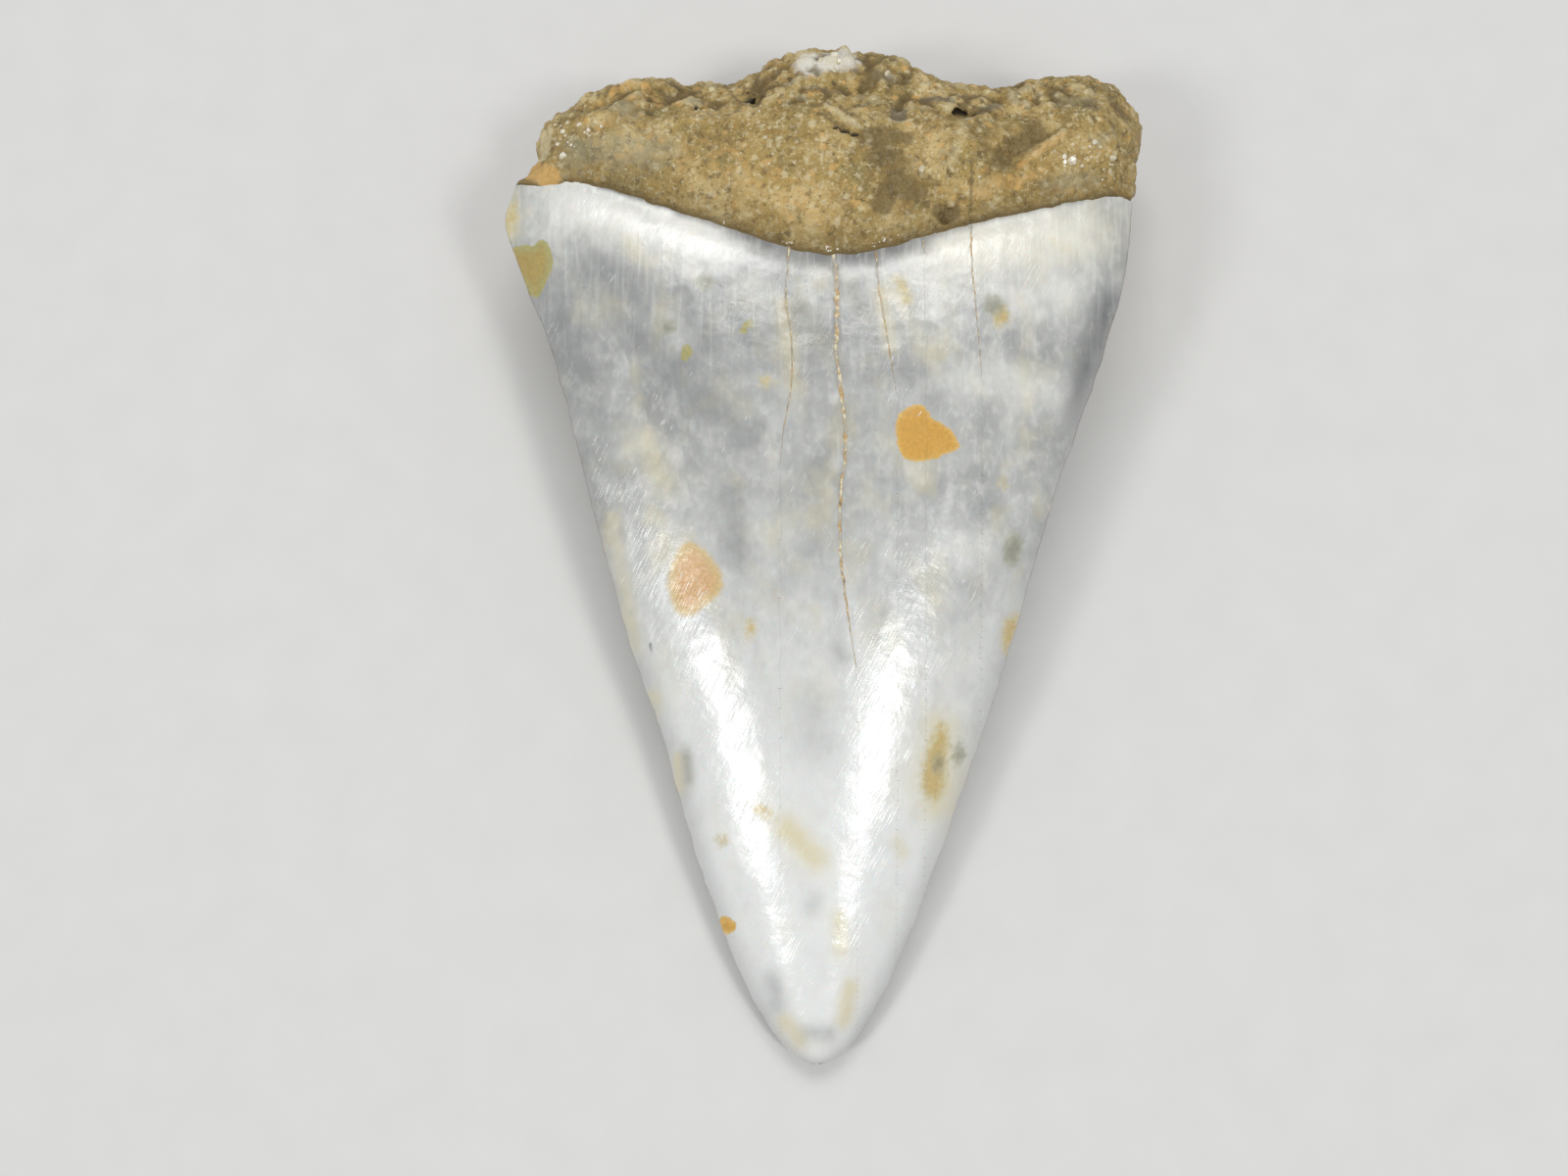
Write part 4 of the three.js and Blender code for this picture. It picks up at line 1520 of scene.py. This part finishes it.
    def _surface(self, coat: Coat, wrinkles: bpy.types.Node, groove: bpy.types.Node) -> bpy.types.Node:
        """Adds the relief too fine for the mesh: scratches, wrinkles, dimples and the cracks' sides.

        Args:
            coat: The material in the making.
            wrinkles: The wrinkles' height.
            groove: Where the cracks are.

        Returns:
            The node that gives the normal.
        """
        worst = coat.add("ShaderNodeMath", {"operation": "MAXIMUM"}, {0: self.worn, 1: Wash.SCUFF_AND_GLINT})
        scratches = coat.add("ShaderNodeMath", TIMES, {0: self.scratch, 1: worst})
        height = 0.0
        for form, reach in zip((scratches, wrinkles, self.dimples, self.hammering, groove), self.heights):
            height = coat.add("ShaderNodeMath", TIMES_PLUS, {0: form, 1: reach, 2: height})
        return coat.add("ShaderNodeBump", {}, {"Height": height, "Distance": MM, "Strength": 1.0})


@dataclass(frozen=True)
class Crumbs:
    """Grains and crumbs of one colour in the root's crust.

    Attributes:
        size: How far they are from each other, in millimetres.
        shift: How far they are moved along X, in millimetres, so that they differ from the others.
        tint: Their colour.
        rarity: The share of places that stay empty.
        strength: How far they cover the crust, from 0 to 1.
    """

    size: float
    shift: float
    tint: str
    rarity: float
    strength: float


@dataclass(frozen=True)
class FossilRootBone:
    """Osteodentine, the spongy bone of a shark tooth's root, filled and coated with silt and iron.

    It gives the eye a dull sandy crust: ochre and olive-brown patches, small grains light and dark, pores
    blackened by painted shade, painted shade in its creases and hollows, painted light on its crests, and
    quartz grains that glint. Sizes in millimetres. Its colours come first.

    Attributes:
        roughness: How dull it is, from 0 to 1.
        patches: The large patches of the crust.
        patch_tints: Their tints.
        crust: Tint, mottling, bounds and strength of each layer over them.
        crumbs: The grains and crumbs.
        crumb_edge: How far from its middle a crumb ends and is full, as a share of its size.
        crumb_fade: Over what share of places the crumbs grow from faint to full.
        fray: How the crumbs' outlines are frayed.
        fray_reach: How far.
        calm: How clear the crumbs are away from the rim, as a share.
        seam: Reach and strength of each darkening of the bone towards the enamel's end.
        ragged: How the washes' outlines are frayed.
        wash_bounds: Values at which a wash sets in and is full.
        washes: Tint and strength of each wash; the one of the hollows is painted shade.
        shading: Painted shade in the creases and the pits and painted light on the crests: height, its
        bounds, tint and strength.
        grain: Size of the grains too fine for the mesh.
        grain_depth: How deep the creases between them are.
        grit: Finer crumbs too fine for the mesh.
        grit_height: How high they stand out.
        bump: How strongly both show.
    """

    dark: str = "#64532e"
    umber: str = "#98783c"
    olive: str = "#8b7b49"
    ochre: str = "#ad9254"
    tan: str = "#ccb47c"
    orange: str = "#d9ae67"
    grey: str = "#9c977c"
    # Colour of the painted shade in hollows.
    hollow_shade: str = "#6f6857"
    cream: str = "#dccfa6"
    white: str = "#e2dfd4"
    # Colour of the painted shade in pits and pores.
    pit_shade: str = "#171009"
    roughness: float = 0.68
    patches: Mottle = Mottle(2.6, detail=5.0, roughness=0.62)
    patch_tints: Tints = ((0.34, olive), (0.5, ochre), (0.66, tan))
    crust: tuple[tuple[str, Mottle, Point, float], ...] = (
        (umber, Mottle(1.4, detail=4.0, roughness=0.65, shift=3.0), (0.5, 0.68), 0.65),
        (dark, Mottle(0.55, detail=4.0, roughness=0.65, shift=7.0), (0.53, 0.69), 0.75),
        (cream, Mottle(0.55, detail=4.0, roughness=0.65), (0.54, 0.71), 0.75),
        (dark, Mottle(0.2, detail=4.0, roughness=0.65, shift=5.0), (0.54, 0.69), 0.72),
        (cream, Mottle(0.2, detail=4.0, roughness=0.65, shift=9.0), (0.54, 0.69), 0.72))
    crumbs: tuple[Crumbs, ...] = (
        Crumbs(0.5, 1.0, dark, 0.72, 0.9), Crumbs(0.6, 2.0, orange, 0.74, 0.9),
        Crumbs(0.42, 4.0, cream, 0.72, 0.9), Crumbs(0.34, 6.0, umber, 0.7, 0.8))
    crumb_edge: Point = (0.55, 0.25)
    crumb_fade: float = 0.2
    fray: Mottle = Mottle(0.26, detail=4.0)
    fray_reach: float = 0.6
    calm: float = 0.65
    seam: tuple[Point, ...] = ((2.4, 0.35), (0.5, 0.65), (0.2, 0.6))
    ragged: Mottle = Mottle(0.625, bounds=(0.0, 1.0), strengths=(-0.5, 0.5), detail=5.0, roughness=0.7)
    wash_bounds: Point = (0.25, 0.75)
    # The wash of the hollows is painted shade, and the dark wash is partly painted shade.
    washes: tuple[tuple[Wash, str, float], ...] = (
        (Wash.BONE_DARK, dark, 0.68), (Wash.BONE_GREY, grey, 0.6), (Wash.BONE_HOLLOW_SHADE, hollow_shade, 0.8),
        (Wash.BONE_ORANGE, orange, 0.75), (Wash.BONE_PALE, cream, 0.6), (Wash.BONE_WHITE, white, 0.9))
    # Painted shade in the crust's creases and in the pits and pores, and painted light on its crests.
    shading: tuple[tuple[Landmark, Point, str, float], ...] = (
        (Landmark.CRUST, (0.0, -0.2), dark, 0.8), (Landmark.CRUST, (0.05, 0.2), cream, 0.4),
        (Landmark.HOLE, (-0.08, -0.28), pit_shade, 0.92))
    grain: float = 0.24
    grain_depth: float = 0.05
    grit: Mottle = Mottle(0.25, detail=5.0, roughness=0.7)
    grit_height: float = 0.12
    bump: float = 0.9

    def build(self) -> bpy.types.Material:
        """Builds the material.

        Returns:
            The material.
        """
        coat = Coat("fossil_root_bone_worn", self.patches, self.patch_tints)
        for tint, mottle, bounds, strength in self.crust:
            coat.lay(tint, mottle, bounds, strength)
        self._crumble(coat)
        # Darker towards the enamel's end.
        for reach, strength in self.seam:
            coat.lay(self.dark, Landmark.PAST_ENAMEL, (reach, 0.0), strength)
        ragged = coat.mottled(self.ragged)
        for wash, tint, strength in self.washes:
            frayed = coat.add("ShaderNodeMath", {"operation": "ADD"}, {0: wash, 1: ragged})
            coat.lay(tint, frayed, self.wash_bounds, strength)
        # Painted shade and light from the relief: darker in creases and pits, paler on crests.
        for mark, bounds, tint, strength in self.shading:
            coat.lay(tint, mark, bounds, strength)
        return coat.finish({"Roughness": self.roughness, "Normal": self._surface(coat)})

    def _crumble(self, coat: Coat) -> None:
        """Lays grains and crumbs with frayed outlines, which stand out more towards the rim.

        Args:
            coat: The material in the making.
        """
        drift = coat.mottled(self.fray).outputs["Color"]
        frayed = coat.add("ShaderNodeVectorMath", TIMES_PLUS, {
            0: drift, 1: [self.fray_reach] * 3, 2: coat.place})
        clarity = coat.add("ShaderNodeMapRange", {}, {"Value": Landmark.RIM, "To Min": self.calm})
        for crumbs in self.crumbs:
            moved = coat.add("ShaderNodeMapping", {}, {
                "Vector": frayed, "Location": (crumbs.shift, 0.0, 0.0)})
            cells = coat.add("ShaderNodeTexVoronoi", {}, {"Vector": moved, "Scale": 1 / crumbs.size})
            edge = between(self.crumb_edge, (0.0, crumbs.strength))
            blob = coat.add("ShaderNodeMapRange", EASED, {"Value": cells.outputs["Distance"]} | edge)
            chance = coat.add("ShaderNodeSeparateColor", {}, {"Color": cells.outputs["Color"]})
            fade = between((crumbs.rarity, crumbs.rarity + self.crumb_fade))
            picked = coat.add("ShaderNodeMapRange", {}, {"Value": chance.outputs["Red"]} | fade)
            share = coat.add("ShaderNodeMath", TIMES, {0: blob, 1: picked})
            coat.lay(crumbs.tint, coat.add("ShaderNodeMath", TIMES, {0: share, 1: clarity}))

    def _surface(self, coat: Coat) -> bpy.types.Node:
        """Adds the grains and crumbs too fine for the mesh.

        Args:
            coat: The material in the making.

        Returns:
            The node that gives the normal.
        """
        grains = coat.add("ShaderNodeTexVoronoi", {}, {"Vector": coat.place, "Scale": 1 / self.grain})
        domes = coat.add("ShaderNodeMath", TIMES, {
            0: grains.outputs["Distance"], 1: -self.grain_depth})
        height = coat.add("ShaderNodeMath", TIMES_PLUS, {
            0: self.grit, 1: self.grit_height, 2: domes})
        return coat.add("ShaderNodeBump", {}, {"Height": height, "Distance": MM, "Strength": self.bump})


@dataclass(frozen=True)
class MilkyQuartz:
    """Milky quartz, as worn sand grains. It gives the eye small pale stones whose facets glint."""

    clouds: Mottle = Mottle(0.5)
    cloud_tints: Tints = ((0.38, "#bfb28f"), (0.6, "#e6e0cf"))
    roughness: float = 0.14
    ior: float = 1.54

    def build(self) -> bpy.types.Material:
        """Builds the material.

        Returns:
            The material.
        """
        coat = Coat("quartz_milky_grain", self.clouds, self.cloud_tints)
        return coat.finish({"Roughness": self.roughness, "IOR": self.ior})


@dataclass(frozen=True)
class PaleCard:
    """Matt card, rolled and uncoated, as the studio's floor. It gives an even pale ground."""

    flecks: Mottle = Mottle(3.0, detail=3.0)
    fleck_tints: Tints = ((0.0, "#d6d5d2"), (1.0, "#dcdbd8"))
    roughness: float = 0.9

    def build(self) -> bpy.types.Material:
        """Builds the material.

        Returns:
            The material.
        """
        coat = Coat("card_matt", self.flecks, self.fleck_tints)
        return coat.finish({"Roughness": self.roughness})


@dataclass(frozen=True)
class Softbox:
    """A rectangular studio lamp that faces the tooth.

    Attributes:
        name: The lamp's name.
        at: Its middle, in millimetres.
        size: Its width and height, in millimetres.
        power: Its power in watts.
    """

    name: str
    at: tuple[float, float, float]
    size: Point
    power: float

    def place(self, target: Vector) -> None:
        """Adds the lamp to the scene.

        Args:
            target: The point it faces, in metres.
        """
        light = bpy.data.lights.new(self.name, "AREA")
        light.shape = "RECTANGLE"
        light.size, light.size_y = (side * MM for side in self.size)
        light.energy = self.power
        lamp = put(self.name, light)
        lamp.location = Vector(self.at) * MM
        lamp.rotation_euler = (target - lamp.location).to_track_quat("-Z", "Y").to_euler()


@dataclass
class Studio:
    """The floor, the lamps and the camera.

    Attributes:
        floor_size: The floor's side, in millimetres.
        camera_at: The camera's place, in millimetres.
        camera_tilt: How far it looks from straight down towards +Y, in degrees.
        focal_length: Its lens, in millimetres.
        sensor_width: Its sensor's width, in millimetres.
        lamps: The softboxes.
        fill: Brightness of the room's even light.
        fill_colour: Its colour.
    """

    floor_size: float = 1200.0
    camera_at: tuple[float, float, float] = (-2.692, -24.254, 105.102)
    camera_tilt: float = 12.0
    focal_length: float = 41.58
    sensor_width: float = 36.0
    lamps: tuple[Softbox, ...] = (
        Softbox("softbox_left", (-238, -146, 306), (60, 95), 0.34),
        Softbox("softbox_right", (140, -121, 306), (46, 76), 0.27),
        Softbox("softbox_back", (0, 122, 306), (190, 100), 0.36),
    )
    fill: float = 0.45
    fill_colour: str = "#f4f6fa"

    def build(self) -> None:
        """Builds the floor, lights and camera."""
        self._floor()
        self._light()
        self._camera()

    def _floor(self) -> None:
        """Lays the floor on the ground plane."""
        bm = bmesh.new()
        bmesh.ops.create_grid(bm, x_segments=1, y_segments=1, size=self.floor_size * MM / 2)
        mesh = bpy.data.meshes.new("floor")
        bm.to_mesh(mesh)
        bm.free()
        mesh.materials.append(PaleCard().build())
        floor = put("floor", mesh)

    def _light(self) -> None:
        """Sets the lamps and the room's light."""
        target = (cad_low + cad_high) / 2
        for lamp in self.lamps:
            lamp.place(target)
        world = bpy.data.worlds.new("room")
        world.use_nodes = True
        background = world.node_tree.nodes["Background"]
        background.inputs["Color"].default_value = linear(self.fill_colour)
        background.inputs["Strength"].default_value = self.fill
        bpy.context.scene.world = world

    def _camera(self) -> None:
        """Sets the camera and how its picture is shown."""
        camera = bpy.data.cameras.new("camera")
        camera.lens = self.focal_length
        camera.sensor_width = self.sensor_width
        camera.clip_start = MM
        holder = put("camera", camera)
        holder.location = Vector(self.camera_at) * MM
        holder.rotation_euler = (math.radians(self.camera_tilt), 0.0, 0.0)
        bpy.context.scene.camera = holder
        bpy.context.scene.view_settings.view_transform = "Standard"


def report(piece: bpy.types.Object) -> None:
    """Logs a piece's triangles and size.

    Args:
        piece: The finished piece.
    """
    piece.data.calc_loop_triangles()
    size = ", ".join(f"{side / MM:.1f}" for side in piece.dimensions)
    log.info("%s: %d triangles, %s mm", piece.name, len(piece.data.loop_triangles), size)


def main() -> None:
    """Builds the tooth and its studio."""
    logging.basicConfig(level=logging.INFO, format="%(name)s: %(message)s")
    tooth = Tooth()
    enamel = FossilEnameloid().build(tooth.markings.cracks)
    bone = FossilRootBone().build()
    quartz = MilkyQuartz().build()
    report(tooth.build(enamel, bone, quartz))
    Studio().build()


if __name__ == "__main__":
    main()
